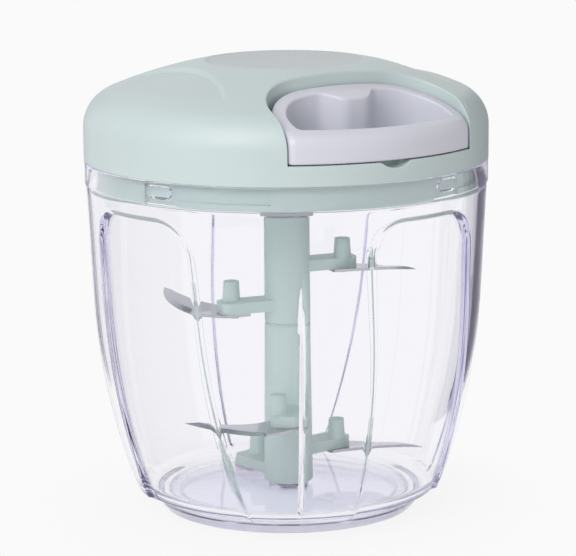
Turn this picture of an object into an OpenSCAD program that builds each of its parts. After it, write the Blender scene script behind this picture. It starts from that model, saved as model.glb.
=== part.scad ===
// Pull-string food chopper: a clear fluted bowl, a domed lid that holds the cord reel,
// and a column of curved blades that the reel turns through a one-way drive.
// Millimetres, +Z up. The origin is the centre of the base on the table, and the cord
// pulls along -Y. Angles round the axis are counted from -Y, anticlockwise from above.

/* [Bowl] */
// Outer radius of the rim band, and of the lid above it
rim_r = 65; // [62:0.5:70]
// Height of the rim above the table
rim_z = 114.8; // [108:0.2:124]
// Height of the rim band
band_h = 7.4; // [7:0.2:9]
// Step in from the rim band to the wall below it
band_step = 0.3; // [0.2:0.1:0.6]
// Thickness of the wall
bowl_wall = 2.6; // [2.2:0.1:3]
// Height at which the straight upper wall starts to curve in
bend_z = 70; // [62:1:78]
// Lean of the straight upper wall, in degrees
wall_lean = 2.75; // [2:0.25:3.5]
// Radius of the curve of the lower wall
belly_r = 204; // [196:2:230]
// Height of the lower edge of the wall
shelf_z = 6.9; // [6.5:0.1:7.5]
// Height of the floor inside
floor_z = 6.2; // [5.8:0.1:6.4]
// Thickness of the floor
floor_t = 2.6; // [2:0.1:2.8]
// Radius of the corner between floor and wall, inside
corner_r = 8; // [6:0.5:10]
// Angle of the bowl's front panel from the pull direction
bowl_turn = -31; // [-45:1:0]

/* [Bowl flutes and ribs] */
// Number of flutes, and of the plain panels between them
flutes = 4; // [4:1:5]
// Depth of a flute
flute_depth = 1.4; // [0.8:0.1:1.6]
// Half the width of a flute
flute_half = 21.4; // [14:0.2:22]
// Height of the top of a flute
flute_top = 103; // [90:1:104]
// Radius of the upper corners of a flute
flute_corner = 12; // [6:0.5:13]
// Sideways lean of a flute, mm per mm of height
flute_lean = 0.07; // [0:0.01:0.1]
// Angle of the inner ribs from the middle of their panel
rib_offset = 4.3; // [0:0.1:8]
// Width of an inner rib
rib_w = 1.6; // [1.2:0.1:2.4]
// Depth of an inner rib
rib_depth = 1.2; // [0.8:0.1:1.4]

/* [Foot] */
// Outer radius of the foot rim, at the table
foot_r = 41.6; // [40:0.2:43]
// Width of the foot rim
foot_rim_w = 2.3; // [2:0.1:3]
// Outer radius of the foot rim, where it meets the bowl
foot_top_r = 43.4; // [43.2:0.1:44]
// Width of the anti-slip ring
foot_ring_w = 3.6; // [2.5:0.1:5]
// How far the anti-slip ring stands below the foot rim
foot_ring_proud = 0.8; // [0.4:0.1:1.2]

/* [Bayonet and seal] */
// Number of bayonet tabs
tabs = 4; // [3:1:4]
// Angle of the first tab from the front panel
tab_turn = -38; // [-42:1:-30]
// Arc that a tab covers, in degrees
tab_arc = 8.2; // [5:0.2:9]
// How far a tab stands in from the rim
tab_depth = 1.3; // [1:0.1:1.5]
// Height of a tab
tab_h = 3.6; // [2.6:0.1:3.8]
// Turn of the lid from open to locked, in degrees
lock_turn = 28; // [20:1:36]
// Radial clearance between the bowl's rim and the lid's skirt
skirt_gap = 0.4; // [0.3:0.05:0.6]
// Thickness of the lid's skirt
skirt_t = 2.6; // [2.5:0.1:3]
// Width of the seal ring
seal_w = 1.1; // [0.9:0.05:1.2]
// Height of the seal ring
seal_h = 1.6; // [1.2:0.1:2]

/* [Lid] */
// Height of the top of the lid above the table
top_z = 146; // [145:0.5:150]
// Radius of the flat disc on top
flat_r = 25.7; // [20:0.1:28]
// Radius of the dome
dome_r = 150; // [140:1:160]
// Radius of the shoulder
shoulder_r = 12.5; // [11:0.5:14]
// Thickness of the lid shell
lid_wall = 2.6; // [2.4:0.1:3]
// Depth of the palm scoops at their inner edge
scoop_depth = 1.4; // [0.8:0.1:1.6]
// Distance of a scoop's inner edge from the axis
scoop_reach = 32; // [30:0.5:36]
// Radius of a scoop's inner edge, seen from above
scoop_r = 78; // [60:1:90]
// Distance from the axis at which a scoop runs out
scoop_fade = 52; // [48:0.5:54]
// Thickness of the plate that closes the lid from below
plate_t = 2.6; // [2.4:0.1:3]
// Radius of the half-round thumb notch under the handle
notch_r = 8; // [6:0.5:9]
// Depth of the thumb notch below the pocket floor
notch_drop = 2; // [1.5:0.1:2.4]

// Distance of the front screws from the middle, sideways
screw_side = 46; // [44:0.5:48]
// Distance of the front screws from the axis, along the pull
screw_front = 20; // [16:0.5:24]
// Distance of the rear screws from the middle, sideways
rear_screw_side = 30; // [26:0.5:34]
// Distance of the rear screws behind the axis
rear_screw_back = 40; // [36:0.5:42]

/* [Handle] */
// Half the width of the handle
handle_half = 32.4; // [30:0.2:34]
// Distance of the handle's back from the axis
handle_back = 32; // [31.5:0.1:33]
// Radius of the handle's back corners
handle_corner = 19; // [17:0.5:20]
// Height of the underside of the handle above the rim
handle_lift = 6.8; // [6.4:0.1:7.5]
// Radius of the handle's crowned top
handle_crown = 170; // [150:1:190]
// Height of the crown above the underside, on the pull axis
handle_h = 24.3; // [22:0.1:26]
// Distance of the crown's highest point from the axis, negative behind it
handle_peak = -8; // [-12:0.5:4]
// Thickness of the handle's front bar
bar_t = 4.6; // [4:0.2:7]
// Radius of the roll along the front bar's upper edge
bar_roll = 3; // [2:0.2:3.6]
// Thickness of the handle's sides
side_t = 4.6; // [4:0.2:6]
// Thickness of the handle's back
back_t = 4.4; // [3.6:0.2:6]
// Radius of the cord boss inside the handle
cord_boss_r = 7; // [6:0.2:8]
// Gap between the handle and the sides of its pocket
pocket_gap = 0.6; // [0.4:0.1:0.9]
// Gap behind the handle
pocket_back_gap = 1; // [0.9:0.1:1.4]
// Gap under the handle
pocket_floor_gap = 0.4; // [0.3:0.1:0.6]
// Radius of the pocket's back corners
pocket_corner = 17.6; // [15:0.2:18]
// Thickness of the pocket's walls
pocket_wall = 2; // [1.6:0.1:2.4]

/* [Cord drive] */
// Diameter of the cord
cord_d = 2; // [1.6:0.1:2.2]
// Step between the turns of the winding
cord_step = 2.5; // [2.45:0.05:2.8]
// Radius of the reel's core
core_r = 9.5; // [9:0.1:10]
// Radius of the outermost turn of the winding, at the middle of the cord
wind_r = 19; // [17:0.5:20]
// Radius of the reel
reel_r = 21.5; // [21:0.1:23]
// Thickness of the reel's flanges
flange_t = 1.5; // [1.2:0.1:2]
// Height of the cord above the lid's lower edge
cord_lift = 12.5; // [12:0.1:13]
// Width of the spiral spring's strip
spring_w = 6; // [4:0.2:6.6]
// Thickness of the spiral spring's strip
spring_t = 0.5; // [0.3:0.05:0.7]
// Turns of the spiral spring
spring_turns = 6; // [4:1:8]
// Radius of the axle
axle_r = 3; // [2.6:0.1:3.2]
// Radial running clearance on the axle and in the bearing
run_gap = 0.08; // [0.05:0.01:0.1]
// Outer radius of the drive hub
hub_r = 8.5; // [8.3:0.1:9]
// Wall of the drive hub's socket
socket_wall = 1.7; // [1.4:0.1:1.8]
// Number of ratchet teeth
teeth = 12; // [9:3:15]
// Depth of a ratchet tooth
tooth_depth = 1.2; // [0.9:0.1:1.4]

/* [Blade column] */
// Radius of the column
column_r = 7.4; // [7:0.1:8]
// Radius of the column at its foot
column_foot_r = 8; // [7.5:0.1:8.4]
// Height of the column's foot
column_z = 7.6; // [7.5:0.1:8]
// Height of the seam between lower and upper hub
seam_z = 60.5; // [56:0.5:62]
// Height of the column's shoulder, below the drive hub
shoulder_z = 96.5; // [94:0.5:97.5]
// Radius of the pivot pin
pin_r = 2.5; // [2:0.1:2.8]
// Height of the pivot pin above the floor
pin_h = 21; // [14:0.2:24]
// Thickness of a blade arm
arm_t = 3.6; // [3.2:0.1:4.4]
// Width of a blade arm
arm_w = 9; // [8:0.2:10]
// Length of a blade arm from the axis
arm_reach = 23.5; // [22:0.5:25]
// Radius of the corners at the end of a blade arm
arm_corner = 2.5; // [1.5:0.1:3.5]
// Height of the underside of the lower hub's top arm
low_arm_1_z = 30.6; // [28:0.2:34]
// Height of the underside of the lower hub's middle arm
low_arm_2_z = 15.5; // [14:0.1:18]
// Height of the underside of the lower hub's bottom arm above the column's foot
low_arm_3_lift = 1; // [0.8:0.1:1.6]
// Height of the underside of the upper hub's top arm
up_arm_1_z = 77.2; // [72:0.1:82]
// Height of the underside of the upper hub's bottom arm above the seam
up_arm_2_lift = 4.6; // [1.5:0.1:6]
// Distance of the peg from the axis, along its arm
peg_out = 18.6; // [18:0.1:19.5]
// Distance of the peg from the middle of its arm
peg_side = 2.2; // [1.5:0.1:2.4]
// Distance of the short rivet from the axis, along its arm
rivet_out = 19.5; // [18:0.1:20]
// Distance of the short rivet from the middle of its arm
rivet_side = 2.6; // [2:0.1:3]
// Height of the peg on an arm
peg_h = 6.2; // [5:0.2:8]
// Radius of the peg at its foot
peg_r = 2.9; // [2.6:0.1:3.2]
// Thickness of a blade
blade_t = 0.9; // [0.7:0.05:1]
// Radius of a blade's cutting edge, seen from above
edge_r = 27.1; // [26:0.1:27.2]
// Distance along the arm from the axis to the middle of the cutting edge's arc
edge_out = 7.7; // [7:0.1:8.4]
// Distance across the arm from the axis to the middle of the cutting edge's arc
edge_side = 18; // [17:0.1:19]
// Radius of a blade's back edge, seen from above
back_r = 32; // [31.5:0.1:33]
// Distance behind the axis of the middle of the back edge's arc
back_out = 0.4; // [0:0.1:1]
// Distance across the arm from the axis to the middle of the back edge's arc
back_side = 33.6; // [33:0.1:34.4]
// Distance of a blade's inner end from the axis
blade_start = 14.5; // [13:0.1:15]
// Width of the ground bevel on the cutting edge
bevel_w = 2.4; // [1.5:0.1:3]
// Upward bend of a blade outside its arm, in degrees
blade_bend = 9; // [0:0.5:12]
// Radius of a blade pin
rivet_r = 1; // [0.8:0.05:1.2]

/* [Hidden] */
$fn = 96;

clear_plastic = [0.86, 0.87, 0.95, 0.35];
mint_plastic = [0.76, 0.84, 0.82];
grey_plastic = [0.81, 0.79, 0.84];
white_rubber = [0.93, 0.93, 0.95];
steel = [0.72, 0.73, 0.75];
cord_white = [0.92, 0.92, 0.9];

// Overlap that keeps a cut or a union from ending on another face
eps = 0.6;
// Gap between pieces of one body that fit together
fit_gap = 0.1;
// Gap round a pin or screw that is pressed in
press_gap = 0.02;

// Each arm as [height of its underside, angle from the pull direction]
lower_arms = [[low_arm_1_z, -34], [low_arm_2_z, 97], [column_z + low_arm_3_lift, -171]];
upper_arms = [[up_arm_1_z, 81], [seam_z + up_arm_2_lift, -99]];
// Place of the peg and of the second rivet on an arm, along it and across it
peg_at = [peg_out, -peg_side];
rivet_at = [rivet_out, rivet_side];
// Centres of a blade's cutting edge and back edge, along the arm and across it
edge_at = [edge_out, -edge_side];
back_at = [-back_out, -back_side];

// Bowl
bend_r = rim_r - band_step - (rim_z - band_h - bend_z) * tan(wall_lean);
belly_at = [bend_r - belly_r * cos(wall_lean), bend_z + belly_r * sin(wall_lean)];
band_z = rim_z - band_h;
floor_under = floor_z - floor_t;
rim_in_r = rim_r - bowl_wall - eps;
skirt_r = rim_in_r - skirt_gap;
tab_z = band_z + 2;
flute_mid = 64;

// Lid
lid_z = rim_z + 0.2;
dome_z = top_z - sqrt(pow(dome_r, 2) - pow(flat_r, 2));
bend_at_r = rim_r - shoulder_r;
bend_at_z = dome_z + sqrt(pow(dome_r - shoulder_r, 2) - pow(bend_at_r, 2));
tangent_angle = atan2(bend_at_z - dome_z, bend_at_r);
seal_mid = rim_r - lid_wall / 2;
screw_places = [
    for (s = [-1, 1]) each [[s * screw_side, -screw_front], [s * rear_screw_side, rear_screw_back]]];
screw_r = 1.5;
screw_head_r = 2.9;
boss_r = 3.6;
plate_z = band_z;
plate_top = plate_z + plate_t;

// Handle
handle_z = rim_z + handle_lift;
pocket_z = handle_z - pocket_floor_gap;
crown_at = [0, -handle_peak, handle_z + handle_h - handle_crown];
pocket_back = handle_back - pocket_back_gap;

// Drive
cord_z = lid_z + cord_lift;
groove_h = cord_d + 0.6;
groove_z = cord_z - groove_h / 2;
cup_floor = groove_z + groove_h + flange_t;
cup_wall = 2;
cup_r = reel_r - cup_wall;
cup_top = cup_floor + spring_w + 1.4;
ratchet_z = groove_z - flange_t;
ratchet_h = 6;
ratchet_r = 13.5;
ratchet_in = ratchet_r - 1.7;
bearing_top = ratchet_z - ratchet_h - 0.5;
bearing_wall = 2.4;
axle_z = plate_z + 5.5;
axle_top = top_z - lid_wall - fit_gap;
socket_r = hub_r - socket_wall;
hub_z = shoulder_z + 1.5;
spindle_r = 4.4;
dog_w = 2.2;
dogs = 3;
dog_top = plate_z - 1.2;
eyelet_bore = cord_d / 2 + 0.4;
eyelet_r = eyelet_bore + 1.2;
eyelet_flange = 0.6;
// Where the cord leaves the winding, and where it turns into the eyelet
leave_y = pocket_back - pocket_wall - 2;
leave_angle = 270 - acos(wind_r / leave_y);
wind_turns = (wind_r - core_r - cord_d / 2 - fit_gap) / cord_step;

// Points along an arc of radius r about c, from angle a to angle b
function arc(c, r, a, b, steps) =
    [for (i = [0:steps]) let (t = a + (b - a) * i / steps) c + r * [cos(t), sin(t)]];

// Outline of the bowl's wall up to a height, drawn in from its outer face
function wall_side(inset, low, high) =
    let (r = belly_r - inset, start = asin((low - belly_at[1]) / r))
    concat(
        arc(belly_at, r, start, -wall_lean, 14),
        [[bend_r - inset / cos(wall_lean) + (high - bend_z) * tan(wall_lean), high]]);

// Outline of the space inside the bowl, with its rounded floor corner
function hollow_side(inset, low, high) =
    let (
        r = belly_r - inset,
        z = low + corner_r,
        x = belly_at[0] + sqrt(pow(r - corner_r, 2) - pow(belly_at[1] - z, 2)),
        join = asin((z - belly_at[1]) / (r - corner_r)))
    concat(
        arc([x, z], corner_r, -90, join, 6),
        [for (p = arc(belly_at, r, join, -wall_lean, 14)) if (p[1] > z + 0.1) p],
        [[bend_r - inset / cos(wall_lean) + (high - bend_z) * tan(wall_lean), high]]);

// Height of the dome at a distance from the axis
function dome_height(r) = dome_z + sqrt(pow(dome_r, 2) - pow(r, 2));

// Outline of the lid's outer face, drawn in by inset
function lid_side(inset) =
    let (r = dome_r - inset, s = shoulder_r - inset, flat = top_z - inset)
    concat(
        [[rim_r - inset, lid_z]],
        arc([bend_at_r, bend_at_z], s, 0, tangent_angle, 14),
        [for (p = arc([0, dome_z], r, tangent_angle, acos(flat_r / dome_r), 10)) if (p[1] < flat - 0.02) p],
        [[sqrt(pow(r, 2) - pow(flat - dome_z, 2)), flat]]);

// Rings of a tube along points that lie level, joined into one closed skin
function level_dir(p, i) =
    let (d = p[min(i + 1, len(p) - 1)] - p[max(i - 1, 0)]) d / norm(d);
function tube_points(p, r, z, sides) = [
    for (i = [0:len(p) - 1])
        for (k = [0:sides - 1])
            let (d = level_dir(p, i), c = r * cos(360 * k / sides), s = r * sin(360 * k / sides))
            [p[i][0] + c * d[1], p[i][1] - c * d[0], z + s]];
function tube_faces(rings, sides) = concat(
    [[for (k = [0:sides - 1]) k]],
    [for (i = [0:rings - 2]) for (k = [0:sides - 1])
        let (a = i * sides + k, b = i * sides + (k + 1) % sides) [a, a + sides, b + sides]],
    [for (i = [0:rings - 2]) for (k = [0:sides - 1])
        let (a = i * sides + k, b = i * sides + (k + 1) % sides) [a, b + sides, b]],
    [[for (k = [sides - 1:-1:0]) (rings - 1) * sides + k]]);
module level_tube(p, r, z, sides) {
    polyhedron(tube_points(p, r, z, sides), tube_faces(len(p), sides));
}

// Middle line of the cord's winding, from the reel's core to where it leaves
function winding_line(steps) = [
    for (i = [0:steps])
        let (a = leave_angle - 360 * wind_turns * (1 - i / steps), r = wind_r - cord_step * wind_turns * (1 - i / steps))
        r * [cos(a), sin(a)]];

// Turns what faces -Y to an angle round the axis
module facing(angle) {
    rotate([0, 0, angle]) children();
}

// A round ring, or a length of one
module ring(r_in, r_out, z, h, angle = 360) {
    rotate_extrude(angle = angle)
        translate([r_in, z])
            square([r_out - r_in, h]);
}

// Bowl
module wall_body(inset, high) {
    rotate_extrude()
        polygon(concat([[0, shelf_z]], wall_side(inset, shelf_z, high), [[0, high]]));
}

module hollow_body(inset) {
    rotate_extrude()
        polygon(concat([[0, floor_z]], hollow_side(inset, floor_z, rim_z + 1), [[0, rim_z + 1]]));
}

module flute_window() {
    low = 0;
    side = flute_top - flute_corner;
    shift = [for (z = [low, side, flute_top]) flute_lean * (flute_mid - z)];
    inner = flute_half - flute_corner;
    rotate([90, 0, 0])
        translate([0, 0, rim_r / 2])
            linear_extrude(rim_r)
                union() {
                    polygon([
                        [shift[0] - flute_half, low], [shift[0] + flute_half, low],
                        [shift[1] + flute_half, side], [shift[1] + inner, flute_top],
                        [shift[1] - inner, flute_top], [shift[1] - flute_half, side]]);
                    for (s = [-1, 1])
                        translate([shift[1] + s * inner, side]) circle(flute_corner);
                }
}

module bowl() {
    color(clear_plastic)
        difference() {
            union() {
                difference() {
                    union() {
                        wall_body(flute_depth, flute_top + eps);
                        difference() {
                            wall_body(0, rim_z - eps);
                            for (i = [0:flutes - 1])
                                facing(bowl_turn + (i + 0.5) * 360 / flutes) flute_window();
                        }
                        rim_band();
                        foot_rim();
                    }
                    bowl_hollow();
                }
                bowl_tabs();
                translate([0, 0, floor_under]) cylinder(r = column_r - 1.4, h = column_z - 0.3 - floor_under);
            }
            translate([0, 0, floor_under + 1]) cylinder(r = pin_r + press_gap, h = column_z);
        }
}

module rim_band() {
    rotate_extrude()
        polygon([
            [rim_in_r - 1, band_z], [rim_r - band_step - 0.2, band_z - 0.6], [rim_r, band_z + 0.4],
            [rim_r, rim_z], [rim_in_r - 1, rim_z]]);
}

module foot_rim() {
    rotate_extrude()
        polygon([
            [0, floor_under], [foot_r - foot_rim_w, floor_under],
            [foot_r - foot_rim_w, foot_ring_proud], [foot_r, foot_ring_proud],
            [foot_top_r, shelf_z - 2.7], [wall_side(0, shelf_z, rim_z)[0][0] - 0.3, shelf_z],
            [foot_top_r, shelf_z + 4], [0, shelf_z + 4]]);
}

// The space inside, with the ribs left standing on its wall
module bowl_hollow() {
    difference() {
        union() {
            hollow_body(bowl_wall);
            ring(0, rim_in_r, band_z, band_h + 1);
        }
        difference() {
            for (i = [0:flutes - 1])
                facing(bowl_turn + rib_offset + i * 360 / flutes)
                    translate([-rib_w / 2, -rim_r, floor_z + corner_r])
                        cube([rib_w, rim_r / 2, flute_top - 2 * flute_corner - floor_z]);
            hollow_body(bowl_wall + rib_depth);
        }
    }
}

// Oval tabs on the inside of the rim, which lock the lid
module bowl_tabs() {
    half = rim_in_r * tab_arc * PI / 360 - tab_h / 2;
    for (i = [0:tabs - 1])
        facing(bowl_turn + tab_turn + i * 360 / tabs)
            intersection() {
                ring(rim_in_r - tab_depth, rim_in_r + 1, tab_z - 1, tab_h + 2);
                translate([0, -rim_r / 2, tab_z + tab_h / 2])
                    rotate([90, 0, 0])
                        linear_extrude(rim_r)
                            union() {
                                square([2 * half, tab_h], center = true);
                                for (s = [-1, 1]) translate([s * half, 0]) circle(tab_h / 2);
                            }
            }
}

module pivot_pin() {
    low = floor_under + 1;
    high = floor_z + pin_h;
    color(steel)
        rotate_extrude()
            polygon(concat(
                [[0, low], [pin_r, low]],
                arc([pin_r - 1, high - 1], 1, 0, 90, 5),
                [[0, high]]));
}

module foot_ring() {
    out = foot_r - foot_rim_w - fit_gap;
    color(white_rubber)
        rotate_extrude()
            polygon([
                [out - foot_ring_w, 0.6], [out - foot_ring_w + 0.6, 0], [out - 0.6, 0],
                [out, 0.6], [out, floor_under], [out - foot_ring_w, floor_under]]);
}

// Lid
module lid_seal() {
    color(white_rubber) ring(seal_mid - seal_w / 2, seal_mid + seal_w / 2, rim_z, seal_h);
}

module lid_body(inset) {
    rotate_extrude()
        polygon(concat([[0, lid_z]], lid_side(inset), [[0, top_z - inset]]));
}

// Plan of the handle or its pocket, grown on all sides but the front
module handle_plan(grow, behind, corner) {
    half = handle_half + grow;
    back = handle_back - behind;
    union() {
        translate([-half, -rim_r - 10]) square([2 * half, rim_r + 10 - back - corner]);
        translate([corner - half, -rim_r - 10]) square([2 * (half - corner), rim_r + 10 - back]);
        for (s = [-1, 1])
            translate([s * (half - corner), -back - corner]) circle(corner);
    }
}

module pocket(grow, behind, z) {
    translate([0, 0, z]) linear_extrude(top_z - z) handle_plan(grow, behind, pocket_corner + grow - pocket_gap);
}

module lid_shell() {
    inner = pocket_gap + pocket_wall;
    color(mint_plastic)
        difference() {
            union() {
                difference() {
                    lid_body(0);
                    translate([0, 0, -0.01]) lid_body(lid_wall);
                }
                intersection() {
                    lid_body(lid_wall / 2);
                    union() {
                        pocket(inner, pocket_back_gap + pocket_wall, pocket_z - pocket_wall);
                        for (p = screw_places)
                            translate([p[0], p[1], lid_z]) cylinder(r = boss_r, h = top_z - lid_z);
                        translate([0, 0, cup_top + 2]) cylinder(r = 2 * axle_r, h = top_z - cup_top - 2);
                    }
                }
                for (p = screw_places)
                    translate([p[0], p[1], plate_top]) cylinder(r = boss_r, h = lid_z + 1 - plate_top);
            }
            pocket(pocket_gap, pocket_back_gap, pocket_z);
            palm_scoops();
            translate([0, -rim_r + 5, pocket_z - notch_drop + notch_r])
                rotate([90, 0, 0]) cylinder(r = notch_r, h = 10);
            ring(seal_mid - seal_w / 2 - 0.05, seal_mid + seal_w / 2 + 0.05, lid_z - 1, seal_h + 0.9);
            for (p = screw_places)
                translate([p[0], p[1], plate_top - 1]) cylinder(r = screw_r + press_gap, h = 13);
            translate([0, 0, cup_top]) cylinder(r = axle_r + press_gap, h = axle_top - cup_top);
            translate([0, -pocket_back + 1, cord_z])
                rotate([90, 0, 0]) translate([0, 0, -pocket_wall - 3]) cylinder(r = eyelet_r, h = pocket_wall + 6);
        }
}

// A shallow hollow on each side of the dome, for the palm of the hand that holds the lid
module palm_scoops() {
    inner = scoop_reach - 2;
    for (s = [-1, 1])
        intersection() {
            rotate_extrude()
                polygon([
                    [inner, dome_height(inner) - scoop_depth], [scoop_fade, dome_height(scoop_fade)],
                    [scoop_fade, top_z + 5], [inner, top_z + 5]]);
            translate([s * (scoop_reach + scoop_r), 4, lid_z]) cylinder(r = scoop_r, h = top_z);
        }
}

// The plate that closes the lid from below, with the skirt that plugs into the bowl
module lid_base() {
    bearing_r = hub_r + run_gap;
    skirt_in = skirt_r - skirt_t;
    color(mint_plastic)
        difference() {
            union() {
                ring(bearing_r, skirt_r, plate_z, plate_t);
                ring(skirt_in, skirt_r, plate_z, lid_z + 2 - plate_z);
                ring(skirt_in, rim_r - lid_wall - fit_gap, lid_z + 0.4, 1.8);
                ring(bearing_r, bearing_r + bearing_wall, plate_z, bearing_top - plate_z);
            }
            for (i = [0:tabs - 1])
                facing(bowl_turn + tab_turn - 90 + i * 360 / tabs) bayonet_slot();
            for (p = screw_places)
                translate([p[0], p[1], plate_z - 1]) {
                    cylinder(r = screw_r + 0.2, h = plate_t + 2);
                    cylinder(r = screw_head_r + 0.2, h = 2.4);
                }
        }
}

// An entry from below and a run along which the tab locks
module bayonet_slot() {
    play = 1.6;
    inner = rim_in_r - tab_depth - 0.3;
    rotate([0, 0, -tab_arc / 2 - play]) {
        ring(inner, skirt_r + 1, plate_z - 1, tab_z + tab_h + 1.4 - plate_z, tab_arc + 2 * play);
        ring(inner, skirt_r + 1, tab_z - 0.4, tab_h + 0.8, lock_turn + tab_arc + 2 * play);
    }
}

module lid_screws() {
    color(steel)
        for (p = screw_places)
            translate([p[0], p[1], plate_z + 0.1]) {
                cylinder(r = screw_head_r, h = 1.3);
                cylinder(r = screw_r, h = 12);
            }
}

// Axle that carries the reel and the drive hub, slit for the spring's inner end
module reel_axle() {
    color(steel)
        difference() {
            translate([0, 0, axle_z]) cylinder(r = axle_r, h = axle_top - axle_z);
            translate([-axle_r - 1, -spring_t, cup_floor + 0.4]) cube([2 * axle_r + 2, 2 * spring_t, spring_w + 1]);
            translate([0, 0, axle_z - 1]) cylinder(r = screw_r + press_gap, h = 10);
        }
}

module axle_washer() {
    color(steel) ring(screw_r + 0.1, socket_r - 1, axle_z - 1.2, 1.2);
}

module axle_screw() {
    color(steel)
        translate([0, 0, axle_z - 1.2 - 2]) {
            cylinder(r = screw_head_r, h = 2);
            cylinder(r = screw_r, h = 10);
        }
}

// Flanged bush that leads the cord through the back of the pocket
module cord_eyelet() {
    back = pocket_wall + 0.8;
    color(white_rubber)
        translate([0, -pocket_back - eyelet_flange, cord_z])
            rotate([-90, 0, 0])
                rotate_extrude()
                    polygon([
                        [eyelet_bore, 0], [eyelet_r + 1.4, 0], [eyelet_r + 1.4, eyelet_flange],
                        [eyelet_r, eyelet_flange], [eyelet_r, eyelet_flange + pocket_wall],
                        [eyelet_r + 1, eyelet_flange + pocket_wall], [eyelet_r + 1, eyelet_flange + back],
                        [eyelet_bore + 0.6, eyelet_flange + back], [eyelet_bore, eyelet_flange + back - 0.6]]);
}

// Flat strip that winds up as the cord is pulled and draws it back
module spiral_spring() {
    steps = 20 * spring_turns;
    first = axle_r + 1;
    last = cup_r - 0.6;
    line = [for (i = [0:steps]) [first + (last - first) * i / steps, 360 * spring_turns * i / steps]];
    color(steel)
        translate([0, 0, cup_floor + 0.8])
            linear_extrude(spring_w - 0.2)
                union() {
                    polygon(concat(
                        [for (p = line) (p[0] + spring_t / 2) * [cos(p[1]), sin(p[1])]],
                        [for (i = [steps:-1:0]) (line[i][0] - spring_t / 2) * [cos(line[i][1]), sin(line[i][1])]]));
                    translate([-axle_r, -spring_t / 2]) square([first + axle_r + spring_t / 2, spring_t]);
                    translate([last - spring_t, -spring_t / 2]) square([cup_wall + 0.4, spring_t]);
                }
}

// Cord from the winding through the eyelet to the handle
module cord_lead() {
    leave = wind_r * [cos(leave_angle), sin(leave_angle)];
    turn = [0, -leave_y];
    color(cord_white)
        level_tube(
            [
                leave * 0.97 + turn * 0.03, leave * 0.7 + turn * 0.3, leave * 0.4 + turn * 0.6, leave * 0.18 + turn * 0.82,
                leave * 0.06 + turn * 0.95, turn - [0, 0.9], turn - [0, 2], [0, -pocket_back],
                [0, -handle_back - back_t - 0.4]
            ], cord_d / 2, cord_z, 8);
}

// Handle
module pull_handle() {
    color(grey_plastic)
        difference() {
            intersection() {
                translate([0, 0, handle_z]) linear_extrude(handle_h + 2) handle_plan(0, 0, handle_corner);
                handle_front();
                translate(crown_at) sphere(handle_crown);
            }
            translate([0, 0, handle_z - 1])
                linear_extrude(handle_h + 4)
                    difference() {
                        intersection() {
                            handle_plan(-side_t, -back_t, handle_corner - side_t);
                            circle(rim_r - bar_t);
                        }
                        translate([0, -handle_back - back_t + 1]) circle(cord_boss_r);
                    }
            translate([0, -handle_back + 1, cord_z])
                rotate([90, 0, 0]) {
                    cylinder(r = cord_d / 2 + 0.3, h = cord_boss_r + back_t + 4);
                    translate([0, 0, 1 + back_t + 0.6]) cylinder(r = cord_d / 2 + 2, h = 12);
                }
        }
}

// Round body, flush with the lid's side, that rolls the front bar's edge over into the crown
module handle_front() {
    middle_r = rim_r - bar_roll;
    inside = handle_crown - bar_roll;
    // Lifted a little, so that the roll crosses the crown and doesn't just touch it
    middle_z = crown_at[2] + sqrt(pow(inside, 2) - pow(middle_r - handle_peak, 2)) + fit_gap;
    slope = asin((middle_r - handle_peak) / inside);
    rotate_extrude()
        polygon(concat(
            [[0, handle_z - 1], [rim_r, handle_z - 1]],
            arc([middle_r, middle_z], bar_roll, 0, 90 - slope, 8),
            [[rim_r / 2, handle_z + handle_h + 4], [0, handle_z + handle_h + 4]]));
}

// Collar crimped on the cord's end, which draws the handle
module cord_stop() {
    color(steel)
        translate([0, -handle_back - back_t - 0.6, cord_z])
            rotate([90, 0, 0])
                rotate_extrude()
                    polygon([
                        [0, 0.2], [cord_d / 2 + 1.7, 0], [cord_d / 2 + 1.7, 2.8], [cord_d / 2 + 1, 3.6], [0, 3.6]]);
}

// Reel: cord groove in the middle, spring cup above, ratchet ring below
module cord_reel() {
    color(grey_plastic)
        difference() {
            union() {
                rotate_extrude()
                    polygon([
                        [axle_r + run_gap, ratchet_z], [reel_r, ratchet_z], [reel_r, groove_z - 0.5],
                        [reel_r - 0.5, groove_z], [core_r, groove_z], [core_r, groove_z + groove_h],
                        [reel_r - 0.5, groove_z + groove_h], [reel_r, groove_z + groove_h + 0.5],
                        [reel_r, cup_top], [cup_r, cup_top], [cup_r, cup_floor], [axle_r + run_gap, cup_floor]]);
                translate([0, 0, ratchet_z - ratchet_h])
                    linear_extrude(ratchet_h + 0.5)
                        difference() {
                            circle(ratchet_r);
                            polygon(ratchet_outline());
                        }
            }
            translate([cup_r - 1, -0.8, cup_floor + 0.4]) cube([cup_wall + 2, 1.6, spring_w + 2]);
        }
}

// Saw-tooth outline of the ratchet ring's inside
function ratchet_outline() = [
    for (i = [0:teeth - 1])
        for (k = [0, 1])
            (k == 0 ? ratchet_in : ratchet_in - tooth_depth)
                * [cos(360 * (i + k * 0.92) / teeth), sin(360 * (i + k * 0.92) / teeth)]];

// Turns of cord on the reel
module cord_winding() {
    line = winding_line(ceil(24 * wind_turns));
    color(cord_white) level_tube(line, cord_d / 2, cord_z, 8);
    echo(winding_turns = wind_turns, least_gap_between_turns = winding_gap(line));
}
function winding_gap(line) =
    min([for (i = [0:len(line) - 1]) for (j = [i + 18:1:len(line) - 1]) norm(line[i] - line[j])]) - cord_d;

module spring_cover() {
    color(grey_plastic) ring(2 * axle_r + 1, reel_r, cup_top, 1);
}

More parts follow.
